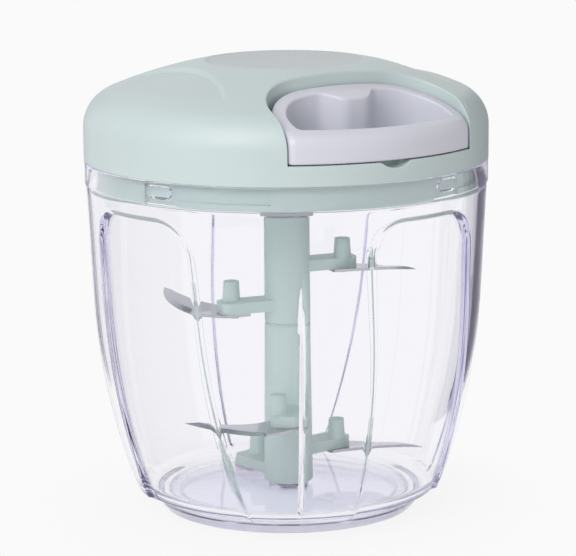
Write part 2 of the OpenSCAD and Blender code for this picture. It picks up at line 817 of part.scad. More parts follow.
// Drive hub: spring pawls at the top, bearing in the middle, socket for the column below
module drive_hub() {
    pawl_z = ratchet_z - ratchet_h + 0.5;
    pawl_h = ratchet_h - 1;
    socket_top = axle_z + 0.1;
    color(grey_plastic) {
        difference() {
            union() {
                translate([0, 0, hub_z]) cylinder(r = hub_r, h = bearing_top + 0.3 - hub_z);
                translate([0, 0, bearing_top]) cylinder(r = hub_r - 2, h = pawl_z + pawl_h - bearing_top);
                translate([0, 0, pawl_z])
                    linear_extrude(pawl_h)
                        for (i = [0:2]) rotate(360 * i / 3) polygon(pawl_outline());
            }
            translate([0, 0, hub_z - 1]) cylinder(r = socket_r, h = socket_top + 1 - hub_z);
            translate([0, 0, hub_z]) cylinder(r = axle_r + run_gap, h = top_z - hub_z);
        }
        for (i = [0:dogs - 1])
            facing(360 * (i + 0.5) / dogs)
                translate([-dog_w / 2, -socket_r - 0.5, hub_z])
                    cube([dog_w, socket_r + 0.5 - spindle_r - 0.5, dog_top - hub_z]);
    }
}

// A curved finger that runs out from the hub and ends in front of a tooth's steep face
function pawl_side(drop) =
    let (tip = ratchet_in - tooth_depth * 0.4, root = hub_r - 2.6)
    [for (i = [0:6]) let (a = 70 - 67 * i / 6, r = root + (tip - root) * pow(i / 6, 1.4) - drop) r * [cos(a), sin(a)]];
function pawl_outline() =
    let (inner = pawl_side(1.2))
    concat(pawl_side(0), [for (i = [6:-1:0]) inner[i]]);

// Blade column
module blade_arm(arm) {
    translate([0, 0, arm[0]])
        facing(arm[1]) {
            linear_extrude(arm_t) arm_plan();
            translate([peg_at[1], -peg_at[0], arm_t - eps]) cylinder(r1 = peg_r, r2 = peg_r - 0.4, h = peg_h + eps);
        }
}

// An arm that points to -Y, with rounded corners at its end
module arm_plan() {
    inner = arm_w / 2 - arm_corner;
    straight = arm_reach - column_r / 2;
    union() {
        translate([-arm_w / 2, arm_corner - arm_reach]) square([arm_w, straight - arm_corner]);
        translate([-inner, -arm_reach]) square([2 * inner, straight]);
        for (s = [-1, 1]) translate([s * inner, arm_corner - arm_reach]) circle(arm_corner);
    }
}

module blade_arm_bores(arm) {
    translate([0, 0, arm[0] - 1])
        facing(arm[1]) {
            translate([peg_at[1], -peg_at[0], 0]) cylinder(r = rivet_r + press_gap, h = arm_t + peg_h);
            translate([rivet_at[1], -rivet_at[0], 0]) cylinder(r = rivet_r + press_gap, h = arm_t);
        }
}

module lower_hub() {
    color(mint_plastic)
        difference() {
            union() {
                rotate_extrude()
                    polygon([
                        [0, column_z], [column_foot_r - 0.4, column_z], [column_foot_r, column_z + 0.4],
                        [column_r, seam_z - 0.6], [column_r - 0.6, seam_z], [0, seam_z]]);
                translate([0, 0, seam_z - eps]) spigot(0, 12);
                for (a = lower_arms) blade_arm(a);
            }
            translate([0, 0, column_z - 1]) cylinder(r = pin_r + run_gap, h = floor_z + pin_h + 0.1 - column_z + 1);
            for (a = lower_arms) blade_arm_bores(a);
        }
}

// Key that carries the turn from the lower hub to the upper one
module spigot(grow, h) {
    intersection() {
        cylinder(r = column_r - 2 + grow, h = h);
        translate([-column_r / 2 - grow, -column_r, -1]) cube([column_r + 2 * grow, 2 * column_r, h + 2]);
    }
}

module upper_hub() {
    color(mint_plastic)
        difference() {
            union() {
                rotate_extrude()
                    polygon([
                        [0, seam_z], [column_r - 0.6, seam_z], [column_r, seam_z + 0.6],
                        [column_r, shoulder_z - 0.6], [column_r - 0.6, shoulder_z], [spindle_r, shoulder_z],
                        [spindle_r, dog_top - 0.6], [spindle_r - 0.6, dog_top], [0, dog_top]]);
                for (i = [0:dogs - 1])
                    facing(360 * i / dogs)
                        translate([-dog_w / 2, -socket_r + 0.5, shoulder_z - 0.5])
                            cube([dog_w, socket_r - 1.5, dog_top - 1 - shoulder_z]);
                for (a = upper_arms) blade_arm(a);
            }
            translate([0, 0, seam_z - eps]) spigot(fit_gap, 12 + fit_gap);
            for (a = upper_arms) blade_arm_bores(a);
        }
}

// Outline of a blade: a crescent cut off at its inner end and along its arm, which points to -Y
module blade_outline() {
    rotate(-90)
        difference() {
            translate(edge_at) circle(edge_r);
            translate(back_at) circle(back_r);
            translate([-rim_r, -rim_r]) square([rim_r + blade_start, 2 * rim_r]);
            translate([-rim_r, arm_w / 2]) square([2 * rim_r, rim_r]);
        }
}

// The flat root lies under its arm, and the rest is bent up along the arm's edge
module blade(arm) {
    fold = arm_w / 2;
    far = rim_r;
    rise = (far - fold) * tan(blade_bend);
    color(steel)
        translate([0, 0, arm[0] - blade_t])
            facing(arm[1])
                difference() {
                    intersection() {
                        translate([0, 0, -1]) linear_extrude(blade_t + 8) blade_outline();
                        rotate([90, 0, 0])
                            linear_extrude(rim_r)
                                polygon([
                                    [fold + 2, 0], [fold + 2, blade_t], [-fold, blade_t],
                                    [-far, blade_t + rise], [-far, rise], [-fold, 0]]);
                    }
                    translate([-fold, 0, 0])
                        rotate([0, blade_bend, 0])
                            translate([fold + edge_at[1], -edge_at[0], 0]) blade_grind();
                    translate([peg_at[1], -peg_at[0], -1]) cylinder(r = rivet_r + press_gap, h = 3);
                    translate([rivet_at[1], -rivet_at[0], -1]) cylinder(r = rivet_r + press_gap, h = 3);
                }
}

// What the grindstone takes off the top of the cutting edge
module blade_grind() {
    land = 0.15;
    slope = (blade_t - land) / bevel_w;
    first = -45 - 90;
    last = asin((-edge_at[1] - arm_w / 2) / edge_r) - 2 - 90;
    rotate([0, 0, first])
        rotate_extrude(angle = last - first)
            polygon([
                [edge_r - 2 * bevel_w, land + 2 * bevel_w * slope], [edge_r + 2, land - 2 * slope],
                [edge_r + 2, blade_t + 3], [edge_r - 2 * bevel_w, blade_t + 3]]);
}

// Steel pins that hold a blade to its arm: a long one up the peg and a short rivet
module blade_pins(arm) {
    color(steel)
        translate([0, 0, arm[0] - blade_t - 0.4])
            facing(arm[1]) {
                translate([peg_at[1], -peg_at[0], 0]) blade_pin(arm_t + peg_h - 1);
                translate([rivet_at[1], -rivet_at[0], 0]) blade_pin(arm_t - 0.4);
            }
}

module blade_pin(h) {
    cylinder(r = rivet_r + 0.6, h = 0.4);
    cylinder(r = rivet_r, h = h);
}

bowl();
pivot_pin();
foot_ring();
lid_seal();
lid_shell();
lid_base();
lid_screws();
reel_axle();
axle_screw();
axle_washer();
cord_eyelet();
spiral_spring();
cord_lead();
pull_handle();
cord_stop();
cord_reel();
cord_winding();
spring_cover();
drive_hub();
lower_hub();
blade(lower_arms[0]);  // lower_blade_1
blade(lower_arms[1]);  // lower_blade_2
blade(lower_arms[2]);  // lower_blade_3
for (a = lower_arms) blade_pins(a);  // lower_blade_pins
upper_hub();
blade(upper_arms[0]);  // upper_blade_1
blade(upper_arms[1]);  // upper_blade_2
for (a = upper_arms) blade_pins(a);  // upper_blade_pins
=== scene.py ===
"""Looks of a pull-string food chopper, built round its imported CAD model.

Laid out as an add-on and run as a script. Sizes in code are millimetres on the CAD model's own
frame: +Z up, the origin at the centre of the base, and the handle pulled along -Y. Angles round
the axis are counted from -Y, anticlockwise from above.
"""

import math

import bmesh
import bpy
import numpy as np
from mathutils import Matrix, Vector
from mathutils.geometry import delaunay_2d_cdt


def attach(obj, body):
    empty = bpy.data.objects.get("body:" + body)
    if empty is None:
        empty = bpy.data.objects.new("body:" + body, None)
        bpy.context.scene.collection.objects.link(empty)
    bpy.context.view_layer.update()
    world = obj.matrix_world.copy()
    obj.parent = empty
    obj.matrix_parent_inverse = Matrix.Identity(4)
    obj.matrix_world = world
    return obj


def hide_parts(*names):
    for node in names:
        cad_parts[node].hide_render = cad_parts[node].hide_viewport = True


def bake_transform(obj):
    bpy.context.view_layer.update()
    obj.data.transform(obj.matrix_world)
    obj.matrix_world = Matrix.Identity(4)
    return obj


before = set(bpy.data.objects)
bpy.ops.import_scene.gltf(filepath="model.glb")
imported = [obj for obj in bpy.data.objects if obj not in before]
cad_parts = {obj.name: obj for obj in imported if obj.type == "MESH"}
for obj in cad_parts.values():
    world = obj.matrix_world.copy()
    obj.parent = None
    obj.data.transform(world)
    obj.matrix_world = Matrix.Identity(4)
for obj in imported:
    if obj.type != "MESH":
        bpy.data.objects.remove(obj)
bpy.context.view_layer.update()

bl_info = {
    "name": "Pull-string food chopper",
    "version": (1, 0, 0),
    "blender": (4, 5, 0),
    "location": "View3D > Sidebar > Chopper",
    "description": "Builds the looks of a pull-string food chopper round its CAD model",
    "category": "Object",
}

MM = 0.001
# Where the photograph was taken from, and what lies across and behind in its view
VIEW_TURN = math.radians(-31.0)
ACROSS = Vector((math.cos(VIEW_TURN), math.sin(VIEW_TURN), 0))
BEHIND = Vector((-ACROSS.y, ACROSS.x, 0))
# The lid's own forms, in mm, as the CAD model has them
LID_R, LID_LOW, LID_TOP = 65.0, 115.0, 146.0
DOME_R, DOME_Z = 150.0, -1.78
# The shoulder's arc: radius and height of its centre, and its own radius
SHOULDER = (52.5, 125.3, 12.5)
FLAT_R = 25.7
# Each palm scoop ends at a circle with its centre beside the lid, and lies between two radii
SCOOP_R, SCOOP_X, SCOOP_Y = 78.0, 110.0, 4.0
SCOOP_IN, SCOOP_OUT = 30.0, 52.0
POCKET_HALF, POCKET_BACK, POCKET_CORNER, POCKET_Z = 33.0, 31.0, 17.6, 121.2
POCKET_FRONT = math.sqrt(LID_R ** 2 - POCKET_HALF ** 2)
# The thumb notch in the pocket's sill: its radius, and how far over the sill its centre lies
NOTCH_R, NOTCH_UP = 8.0, 6.0


def size(name, description, default, low, high):
    """A size in mm with its limits."""
    return bpy.props.FloatProperty(name=name, description=description, default=default, min=low, max=high)


def shade(name, description, default):
    """A colour as an sRGB hex value."""
    return bpy.props.StringProperty(name=name, description=description, default=default)


class ChopperSizes(bpy.types.PropertyGroup):
    """Sizes of the dressed forms, in millimetres"""

    flute_depth: size("Flute depth", "Depth of the bowl's flutes", 1.4, 0.5, 1.6)
    flute_edge: size("Flute edge", "Width over which a flute's edge rolls in", 2.2, 1.0, 6.0)
    rib_depth: size("Rib depth", "Depth of the ribs inside the bowl", 1.2, 0.5, 1.4)
    scoop_depth: size("Scoop depth", "Depth of the lid's palm scoops", 1.4, 0.5, 1.6)
    lip: size("Pocket lip", "Roll of the lid's edge behind the handle", 0.7, 0.5, 3.0)
    lid_wall: size("Lid wall", "Thickness of the lid shell", 2.0, 1.5, 2.6)
    handle_roll: size("Handle roll", "Radius of the handle's front edge", 3.0, 1.0, 3.6)


class ChopperColours(bpy.types.PropertyGroup):
    """Colours as sRGB hex values"""

    mint: shade("Lid", "Moulded lid shell", "#C3D0D0")
    grey: shade("Handle", "Moulded pull handle", "#D4D4DF")
    clear: shade("Bowl", "Tint of the clear bowl", "#FDFDFF")
    steel: shade("Steel", "Ground blades", "#C4C5CC")
    backdrop: shade("Backdrop", "Floor and background", "#FAFAFA")


def linear(hex_colour, alpha=1.0):
    """An sRGB hex value as a linear colour."""
    parts = [int(hex_colour[i:i + 2], 16) / 255 for i in (1, 3, 5)]
    return [c / 12.92 if c <= 0.04045 else ((c + 0.055) / 1.055) ** 2.4 for c in parts] + [alpha]


def add_node(tree, kind, settings=None, **links):
    """Adds a node, sets its properties or sockets, and links outputs to the named sockets."""
    node = tree.nodes.new(kind)
    for key, value in (settings or {}).items():
        if hasattr(node, key) and key not in node.inputs:
            setattr(node, key, value)
        else:
            node.inputs[key].default_value = value
    for key, output in links.items():
        tree.links.new(output, node.inputs[key.replace("_", " ")])
    return node


def empty_tree(owner):
    """The node tree of a material, a world or a lamp, emptied."""
    owner.use_nodes = True
    owner.node_tree.nodes.clear()
    return owner.node_tree


def new_material(name):
    """A node material, its emptied tree and its Object coordinates."""
    material = bpy.data.materials.new(name)
    tree = empty_tree(material)
    return material, tree, add_node(tree, "ShaderNodeTexCoord").outputs["Object"]


def maths(tree, operation, *values):
    """The result of a maths node on two outputs, or on an output and a number."""
    node = add_node(tree, "ShaderNodeMath", {"operation": operation})
    for socket, value in zip(node.inputs, values):
        if isinstance(value, float):
            socket.default_value = value
        else:
            tree.links.new(value, socket)
    return node.outputs["Value"]


def mixed(tree, factor, first, second):
    """The mix of two shaders."""
    both = add_node(tree, "ShaderNodeMixShader", Fac=factor)
    tree.links.new(first, both.inputs[1])
    tree.links.new(second, both.inputs[2])
    return both.outputs["Shader"]


def noise(tree, place, grain, detail=2.0):
    """Noise with grains of about the given size in metres."""
    settings = {"Scale": 1 / grain, "Detail": detail}
    return add_node(tree, "ShaderNodeTexNoise", settings, Vector=place).outputs["Fac"]


def spread(tree, value, low, high, start=0.0, stop=1.0):
    """A value's range from start to stop, laid out from low to high."""
    settings = {"From Min": start, "From Max": stop, "To Min": low, "To Max": high}
    return add_node(tree, "ShaderNodeMapRange", settings, Value=value).outputs["Result"]


def relief(tree, height, strength, depth):
    """The normal of a bump, whose depth is in metres."""
    settings = {"Strength": strength, "Distance": depth}
    return add_node(tree, "ShaderNodeBump", settings, Height=height).outputs["Normal"]


def two_tone(tree, value, colour, darker, start=0.0, stop=1.0):
    """A colour that goes from a darker tone to its own as a value goes from start to stop."""
    tone = add_node(tree, "ShaderNodeValToRGB", Fac=value)
    low, high = tone.color_ramp.elements
    low.position, high.position = start, stop
    low.color = [c * darker for c in linear(colour)[:3]] + [1.0]
    high.color = linear(colour)
    return tone.outputs["Color"]


def principled(tree, settings, volume=None, **links):
    """A principled surface as the material's output, with or without a volume."""
    shader = add_node(tree, "ShaderNodeBsdfPrincipled", settings, **links)
    output = add_node(tree, "ShaderNodeOutputMaterial", Surface=shader.outputs["BSDF"])
    if volume is not None:
        tree.links.new(volume, output.inputs["Volume"])


def seeing_rays(tree):
    """1 for the rays that show the background: straight from the camera, mirrored or through glass."""
    path = add_node(tree, "ShaderNodeLightPath").outputs
    bent = maths(tree, "MAXIMUM", path["Is Glossy Ray"], path["Is Transmission Ray"])
    return maths(tree, "MAXIMUM", path["Is Camera Ray"], bent)


def moulded_abs(name, colour, roughness, grain):
    """ABS from a spark-eroded mould: even colour, faint flow clouds, a fine grain and a soft gloss."""
    material, tree, place = new_material(name)
    # Flow clouds of about 30 mm
    clouds = noise(tree, place, 0.030)
    # The mould's grain is about 0.1 mm; drawn at 0.5 mm so that it shows
    fine = noise(tree, place, 0.0005, 3.0)
    principled(
        tree, {"IOR": 1.53},
        Base_Color=two_tone(tree, clouds, colour, 0.965, 0.3, 0.7),
        Roughness=spread(tree, fine, roughness - 0.05, roughness + 0.05),
        Normal=relief(tree, fine, grain, 0.0001))
    return material


def clear_styrene(name, colour, frost=0.0, tint_density=14.0):
    """Clear styrene acrylonitrile, polished or frosted, with faint flow waves and scuffs."""
    material, tree, place = new_material(name)
    # Flow waves of about 18 mm, and scuffs of about 3 mm that only dull the gloss
    waves = noise(tree, place, 0.018, 1.0)
    scuffs = noise(tree, place, 0.003, 4.0)
    # Long ways through the wall, as at its edges, come out lavender
    tint = add_node(
        tree, "ShaderNodeVolumeAbsorption", {"Color": linear("#DCD9F8"), "Density": tint_density})
    principled(
        tree, {"Base Color": linear(colour), "IOR": 1.42, "Transmission Weight": 1.0}, tint.outputs["Volume"],
        Roughness=spread(tree, scuffs, frost, frost + 0.05, 0.45, 0.8),
        Normal=relief(tree, waves, 0.05, 0.0004))
    return material


def ground_steel(name, colour, roughness, line):
    """Stainless strip, ground and stropped: fine scratches across it and a bright, soft mirror."""
    material, tree, place = new_material(name)
    # Scratches a few hundredths wide; drawn wider so that they show
    stretch = add_node(
        tree, "ShaderNodeMapping", {"Scale": (1 / line, 1 / (12 * line), 1 / line)}, Vector=place)
    scratches = noise(tree, stretch.outputs["Vector"], 1.0, 4.0)
    principled(
        tree, {"Metallic": 1.0},
        Base_Color=two_tone(tree, scratches, colour, 0.86, 0.3, 0.75),
        Roughness=spread(tree, scratches, roughness - 0.07, roughness + 0.1),
        Normal=relief(tree, scratches, 0.06, 0.00005))
    return material


def silicone_rubber(name, colour):
    """Moulded silicone: pale and milky, with a dusty, matt skin."""
    material, tree, place = new_material(name)
    dust = noise(tree, place, 0.0012, 4.0)
    principled(
        tree, {"IOR": 1.41, "Roughness": 0.5},
        Base_Color=two_tone(tree, dust, colour, 0.93), Normal=relief(tree, dust, 0.08, 0.0001))
    return material


def braided_nylon(name, colour):
    """Braided nylon cord: two sets of strands that cross every 1.2 mm, with painted shade in the gaps between
    them.
    """
    material, tree, _ = new_material(name)
    laid = add_node(tree, "ShaderNodeUVMap", {"uv_map": "braid"}).outputs["UV"]
    strands = []
    for angle in (math.radians(45), math.radians(-45)):
        turned = add_node(tree, "ShaderNodeMapping", {"Rotation": (0, 0, angle)}, Vector=laid)
        wave = add_node(
            tree, "ShaderNodeTexWave", {"Scale": 1.0, "Distortion": 0.3}, Vector=turned.outputs["Vector"])
        strands.append(wave.outputs["Fac"])
    woven = maths(tree, "MAXIMUM", *strands)
    # The darker tone in the gaps between the strands is painted shade
    principled(
        tree, {"Roughness": 0.7, "Sheen Weight": 0.2, "IOR": 1.53},
        Base_Color=two_tone(tree, woven, colour, 0.6), Normal=relief(tree, woven, 0.5, 0.00015))
    return material


def material(key):
    """The chopper's materials, each made once."""
    colours = bpy.context.scene.chopper_colours
    makers = {
        "mint_abs_moulded": (moulded_abs, colours.mint, 0.42, 0.05),
        # The top disc's mint is painted greyer as a painted reflection of the surroundings in its flat face;
        # only its finer grain and slightly lower roughness are its own
        "mint_abs_polished_painted_reflection": (moulded_abs, "#BBC2C5", 0.4, 0.02),
        # A lighter copy of the lid's mint for pieces inside the bowl: painted light, making up for the light
        # that the clear wall holds back from them
        "mint_abs_inner_painted_light": (moulded_abs, "#CFE1DD", 0.42, 0.05),
        "lavender_abs_moulded": (moulded_abs, colours.grey, 0.36, 0.04),
        "clear_styrene_moulded": (clear_styrene, colours.clear),
        "clear_styrene_frosted": (clear_styrene, "#EBECFF", 0.14),
        "stainless_blade_ground": (ground_steel, colours.steel, 0.2, 0.0004),
        "steel_pin_turned": (ground_steel, "#BCBDC2", 0.25, 0.0006),
        "spring_steel_tempered": (ground_steel, "#8E9097", 0.3, 0.0008),
        "silicone_moulded": (silicone_rubber, "#ECECF2"),
        "clear_foot_moulded": (clear_styrene, "#FCFCFF", 0.3, 1.5),
        "nylon_cord_braided": (braided_nylon, "#E9E8E4"),
    }
    maker, *values = makers[key]
    return bpy.data.materials.get(key) or maker(key, *values)


def deselect():
    """Leaves nothing selected and no object in edit mode."""
    if bpy.context.object and bpy.context.object.mode != "OBJECT":
        bpy.ops.object.mode_set(mode="OBJECT")
    bpy.ops.object.select_all(action="DESELECT")


def activate(obj):
    """Makes one object the only selected and the active one."""
    deselect()
    obj.select_set(True)
    bpy.context.view_layer.objects.active = obj


def linked(name, data):
    """A new object in the scene."""
    obj = bpy.data.objects.new(name, data)
    bpy.context.scene.collection.objects.link(obj)
    return obj


def mesh_object(name, points, faces, edges=()):
    """A new object from points in mm."""
    mesh = bpy.data.meshes.new(name)
    mesh.from_pydata([Vector(p) * MM for p in points], list(edges), [list(f) for f in faces])
    return linked(name, mesh)


def bmesh_object(name, mesh):
    """A new object from a bmesh, with its faces turned outward."""
    bmesh.ops.recalc_face_normals(mesh, faces=mesh.faces[:])
    data = bpy.data.meshes.new(name)
    mesh.to_mesh(data)
    mesh.free()
    return linked(name, data)


def dress(obj, key, body, *nodes, angle=40.0):
    """Finishes a piece: material, smooth shading, the body it rides on, if any, and its CAD nodes."""
    activate(obj)
    obj.data.materials.clear()
    obj.data.materials.append(material(key))
    bpy.ops.object.shade_smooth_by_angle(angle=math.radians(angle))
    if body:
        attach(obj, body)
    if nodes:
        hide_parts(*nodes)
    deselect()
    return obj


def apply_modifier(obj, kind, **settings):
    """Adds a modifier, sets it and applies it."""
    activate(obj)
    modifier = obj.modifiers.new(kind.title(), kind)
    for key, value in settings.items():
        setattr(modifier, key, value)
    bpy.ops.object.modifier_apply(modifier=modifier.name)


def spun(name, outline, steps):
    """A round body: an outline of (radius, height) points in mm, spun about the axis."""
    edges = [(i, i + 1) for i in range(len(outline) - 1)]
    obj = mesh_object(name, [(r, 0, z) for r, z in outline], [], edges)
    activate(obj)
    bpy.ops.object.mode_set(mode="EDIT")
    bpy.ops.mesh.select_all(action="SELECT")
    bpy.ops.mesh.spin(steps=steps, angle=2 * math.pi, center=(0, 0, 0), axis=(0, 0, 1))
    bpy.ops.mesh.select_all(action="SELECT")
    bpy.ops.mesh.remove_doubles(threshold=1e-6)
    bpy.ops.mesh.normals_make_consistent(inside=False)
    bpy.ops.object.mode_set(mode="OBJECT")
    return obj


def cad_copy(node, name):
    """A merged copy of a CAD node, for a piece that keeps the node's form and softens its edges."""
    obj = linked(name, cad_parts[node].data.copy())
    activate(obj)
    bpy.ops.object.mode_set(mode="EDIT")
    bpy.ops.mesh.select_all(action="SELECT")
    bpy.ops.mesh.remove_doubles(threshold=2e-6)
    bpy.ops.mesh.dissolve_limited(angle_limit=math.radians(0.5))
    bpy.ops.object.mode_set(mode="OBJECT")
    return obj


def rounded(corners, steps=5):
    """An outline through (x, z, radius) corners, each rounded to its radius."""
    points = []
    for i, (x, z, radius) in enumerate(corners):
        here = Vector((x, z))
        if radius == 0 or i in (0, len(corners) - 1):
            points.append(tuple(here))
            continue
        before = (Vector(corners[i - 1][:2]) - here).normalized()
        after = (Vector(corners[i + 1][:2]) - here).normalized()
        half = before.angle(after) / 2
        reach = radius / math.tan(half)
        middle = here + (before + after).normalized() * radius / math.sin(half)
        start = here + before * reach - middle
        turn = start.angle_signed(here + after * reach - middle)
        for k in range(steps + 1):
            arm = start.copy()
            arm.rotate(Matrix.Rotation(-turn * k / steps, 2))
            points.append(tuple(middle + arm))
    return points


def swept(name, line, section):
    """A closed bar along level points. Its section is given as (sideways, upward) points."""
    points, faces = [], []
    count = len(section)
    for i, p in enumerate(line):
        way = (line[min(i + 1, len(line) - 1)] - line[max(i - 1, 0)]).normalized()
        side = Vector((way.y, -way.x, 0))
        points += [p + side * u + Vector((0, 0, v)) for u, v in section]
    for i in range(len(line) - 1):
        near, far = i * count, (i + 1) * count
        for k in range(count):
            n = (k + 1) % count
            faces.append((near + k, near + n, far + n, far + k))
    last = len(points) - count
    faces += [tuple(range(count - 1, -1, -1)), tuple(range(last, last + count))]
    return mesh_object(name, points, faces)


def smooth_step(x):
    """0 below 0, 1 above 1 and smooth between."""
    x = np.clip(x, 0.0, 1.0)
    return x * x * (3 - 2 * x)


def curve_point(a, control, b, t):
    """The point at t on the curve from a to b that a control point draws out."""
    return a * (1 - t) ** 2 + control * 2 * t * (1 - t) + b * t ** 2


def wrapped(angle):
    """An angle in degrees, brought between -180 and 180."""
    return (angle + 180) % 360 - 180


# Bowl: its wall leans outward above the bend, and is a long arc, the belly, below it

BEND = (62.9, 70.0)
LEAN = math.radians(2.75)
BELLY_R = 204.0
BELLY = (BEND[0] - BELLY_R * math.cos(LEAN), BEND[1] + BELLY_R * math.sin(LEAN))
RIM_R, NECK_R, RIM_TOP = 65.0, 61.8, 114.8
# The first of the four panels, and from there the middle of a flute, a rib and a bayonet tab
PANEL_TURN = -31.0
FLUTE_TURN, RIB_TURN, TAB_TURN = 45.0, 4.3, -38.0
# Flutes: half width, corner radius and top, and the slope of their sides about a middle height
FLUTE_HALF, FLUTE_CORNER, FLUTE_TOP = 21.4, 12.0, 103.0
FLUTE_LEAN, FLUTE_MIDDLE = 0.07, 64.0
# Ribs: half width, ends, and the lengths over which they run out
RIB_HALF, RIB_LOW, RIB_HIGH, RIB_FOOT, RIB_TIP = 0.8, 8.0, 88.0, 3.0, 24.0
# Tabs: half of the straight part, end radius, height and depth
TAB_HALF, TAB_R, TAB_Z, TAB_DEPTH = 2.62, 1.8, 111.2, 1.3


def wall_radius(z, inset=0.0):
    """Radius of the bowl's wall at a height, drawn in from its outer face."""
    if z > BEND[1]:
        return BEND[0] - inset / math.cos(LEAN) + (z - BEND[1]) * math.tan(LEAN)
    return BELLY[0] + math.sqrt((BELLY_R - inset) ** 2 - (z - BELLY[1]) ** 2)


def four_places(phi, turn):
    """Angles in radians from each of the four places of a flute, a rib or a tab."""
    return [np.radians(wrapped(phi - (PANEL_TURN + turn + 90 * i))) for i in range(4)]


class ChopperBowl(bpy.types.Operator):
    """Makes the clear bowl with its flutes, ribs, bayonet tabs and foot"""

    bl_idname = "chopper.bowl"
    bl_label = "Bowl"

    def outline(self):
        floor, wall = 6.2, 2.6
        foot = rounded([
            (0, 3.6, 0), (39.3, 3.6, 0.4), (39.3, 0.8, 0.4), (41.6, 0.8, 0.6), (43.4, 4.2, 0.8),
            (wall_radius(6.9) - 0.2, 6.9, 0.5), (wall_radius(12), 12, 0)])
        side = [(wall_radius(z), z) for z in (*np.linspace(13.5, 86, 38), *np.linspace(86.6, 105.6, 32))]
        rim = rounded([
            (wall_radius(106), 106, 0), (64.75, 107.0, 0.4), (RIM_R, 107.8, 0.4), (RIM_R, RIM_TOP, 0.5),
            (NECK_R, RIM_TOP, 0.4), (NECK_R, 113.8, 0)])
        tab_rows = [(NECK_R, z) for z in np.linspace(113.6, 108.8, 17)]
        lower = rounded([
            (NECK_R, 108.2, 0), (NECK_R, 107.2, 0.3), (wall_radius(106, wall), 106, 0.4),
            (wall_radius(104, wall), 104, 0)])
        inner = [(wall_radius(z, wall), z) for z in np.linspace(102.5, 15.5, 34)]
        # The rounded corner between wall and floor, tangent to both
        radius = 8.0
        centre_z = floor + radius
        centre_r = BELLY[0] + math.sqrt((BELLY_R - wall - radius) ** 2 - (BELLY[1] - centre_z) ** 2)
        join = math.asin((centre_z - BELLY[1]) / (BELLY_R - wall - radius))
        corner = [
            (centre_r + radius * math.cos(a), centre_z + radius * math.sin(a))
            for a in np.linspace(join, -math.pi / 2, 10)]
        boss = rounded([(corner[-1][0] - 1, floor, 0), (6.0, floor, 0.8), (6.0, 7.3, 0.3), (0, 7.3, 0)])
        flat = [(r, floor) for r in (33, 26, 19, 12)]
        return foot + side + rim + tab_rows + lower + inner + corner + boss[:1] + flat + boss[1:]

    def columns(self, phi, z):
        """Angles of the mesh's columns, which follow the flutes' edges and crowd there and at the ribs."""
        def crowded(off, reach):
            drawn_in = np.sign(off) * reach * (np.abs(off) / reach) ** 1.7
            return np.where(np.abs(off) < reach, drawn_in, off)

        level = np.clip(z, 7.0, 104.0)
        wall = np.array([wall_radius(h) for h in level])
        # Columns up to the first angle from a flute's middle lie inside it; those past the second stay
        even, still = 21.6, 38.0
        for i in range(4):
            middle = PANEL_TURN + FLUTE_TURN + 90 * i
            off = wrapped(phi - middle)
            t = np.abs(off)
            half = FLUTE_HALF + np.sign(off) * FLUTE_LEAN * (FLUTE_MIDDLE - level)
            edge = np.degrees(np.arcsin(half / wall))
            drawn = np.where(t < even, t * edge / even, edge + (t - even) * (still - edge) / (still - even))
            drawn = edge + crowded(drawn - edge, 4.0)
            phi = np.where(t < still, middle + np.sign(off) * drawn, phi)
            rib = PANEL_TURN + RIB_TURN + 90 * i
            phi = rib + crowded(wrapped(phi - rib), 6.0)
        return phi

    def execute(self, context):
        sizes = context.scene.chopper_sizes
        bowl = spun("bowl_clear", self.outline(), 400)
        count = len(bowl.data.vertices)
        co = np.empty(count * 3)
        bowl.data.vertices.foreach_get("co", co)
        co = co.reshape(-1, 3) / MM
        r, z = np.hypot(co[:, 0], co[:, 1]), co[:, 2]
        phi = np.degrees(np.arctan2(co[:, 0], -co[:, 1]))
        phi = self.columns(phi, z)
        co[:, 0], co[:, 1] = r * np.sin(np.radians(phi)), -r * np.cos(np.radians(phi))
        # Points of the outer face, from the foot up, and of the inner face above the floor
        shell = np.array([wall_radius(h) if 6 < h < 106 else RIM_R for h in z])
        outer = (r > shell - 1.2) & (z > 6.4)
        inner = (~outer) & (z > 7.5) & (r > 40)
        # Flutes: four leaning windows with rounded tops, whose edges roll in
        drop = np.zeros(count)
        for off in four_places(phi, FLUTE_TURN):
            near = np.abs(off) < math.radians(60)
            u = np.abs(r * np.sin(off) - FLUTE_LEAN * (FLUTE_MIDDLE - z))
            du, dz = u - (FLUTE_HALF - FLUTE_CORNER), z - (FLUTE_TOP - FLUTE_CORNER)
            straight = np.minimum(FLUTE_HALF - u, FLUTE_TOP - z)
            inside = np.where((du > 0) & (dz > 0), FLUTE_CORNER - np.hypot(du, dz), straight)
            drop = np.maximum(drop, near * smooth_step(inside / sizes.flute_edge + 0.35))
        below_rim = outer & (z < 105.7)
        r_new = np.where(below_rim, r - sizes.flute_depth * drop, r)
        # Ribs: a thin upright one on the inside of each panel, pointed at its upper end
        for off in four_places(phi, RIB_TURN):
            ends = smooth_step((z - RIB_LOW) / RIB_FOOT) * smooth_step((RIB_HIGH - z) / RIB_TIP)
            ridge = np.clip(1 - np.abs(r * off) / RIB_HALF, 0, 1) * ends
            r_new = np.where(inner, r_new - sizes.rib_depth * ridge, r_new)
        # Bayonet tabs
        for off in four_places(phi, TAB_TURN):
            along = np.maximum(np.abs(NECK_R * off) - TAB_HALF, 0)
            raised = smooth_step((TAB_R - np.hypot(along, z - TAB_Z)) / 0.5 + 0.5)
            r_new = np.where((r < NECK_R + 0.2) & (z > 108.5), r_new - TAB_DEPTH * raised, r_new)
        scale = np.where(r > 1e-6, r_new / np.maximum(r, 1e-6), 1.0)
        co[:, 0] *= scale
        co[:, 1] *= scale
        bowl.data.vertices.foreach_set("co", (co * MM).ravel())
        bowl.data.update()
        dress(bowl, "clear_styrene_moulded", "bowl", "bowl", angle=35)
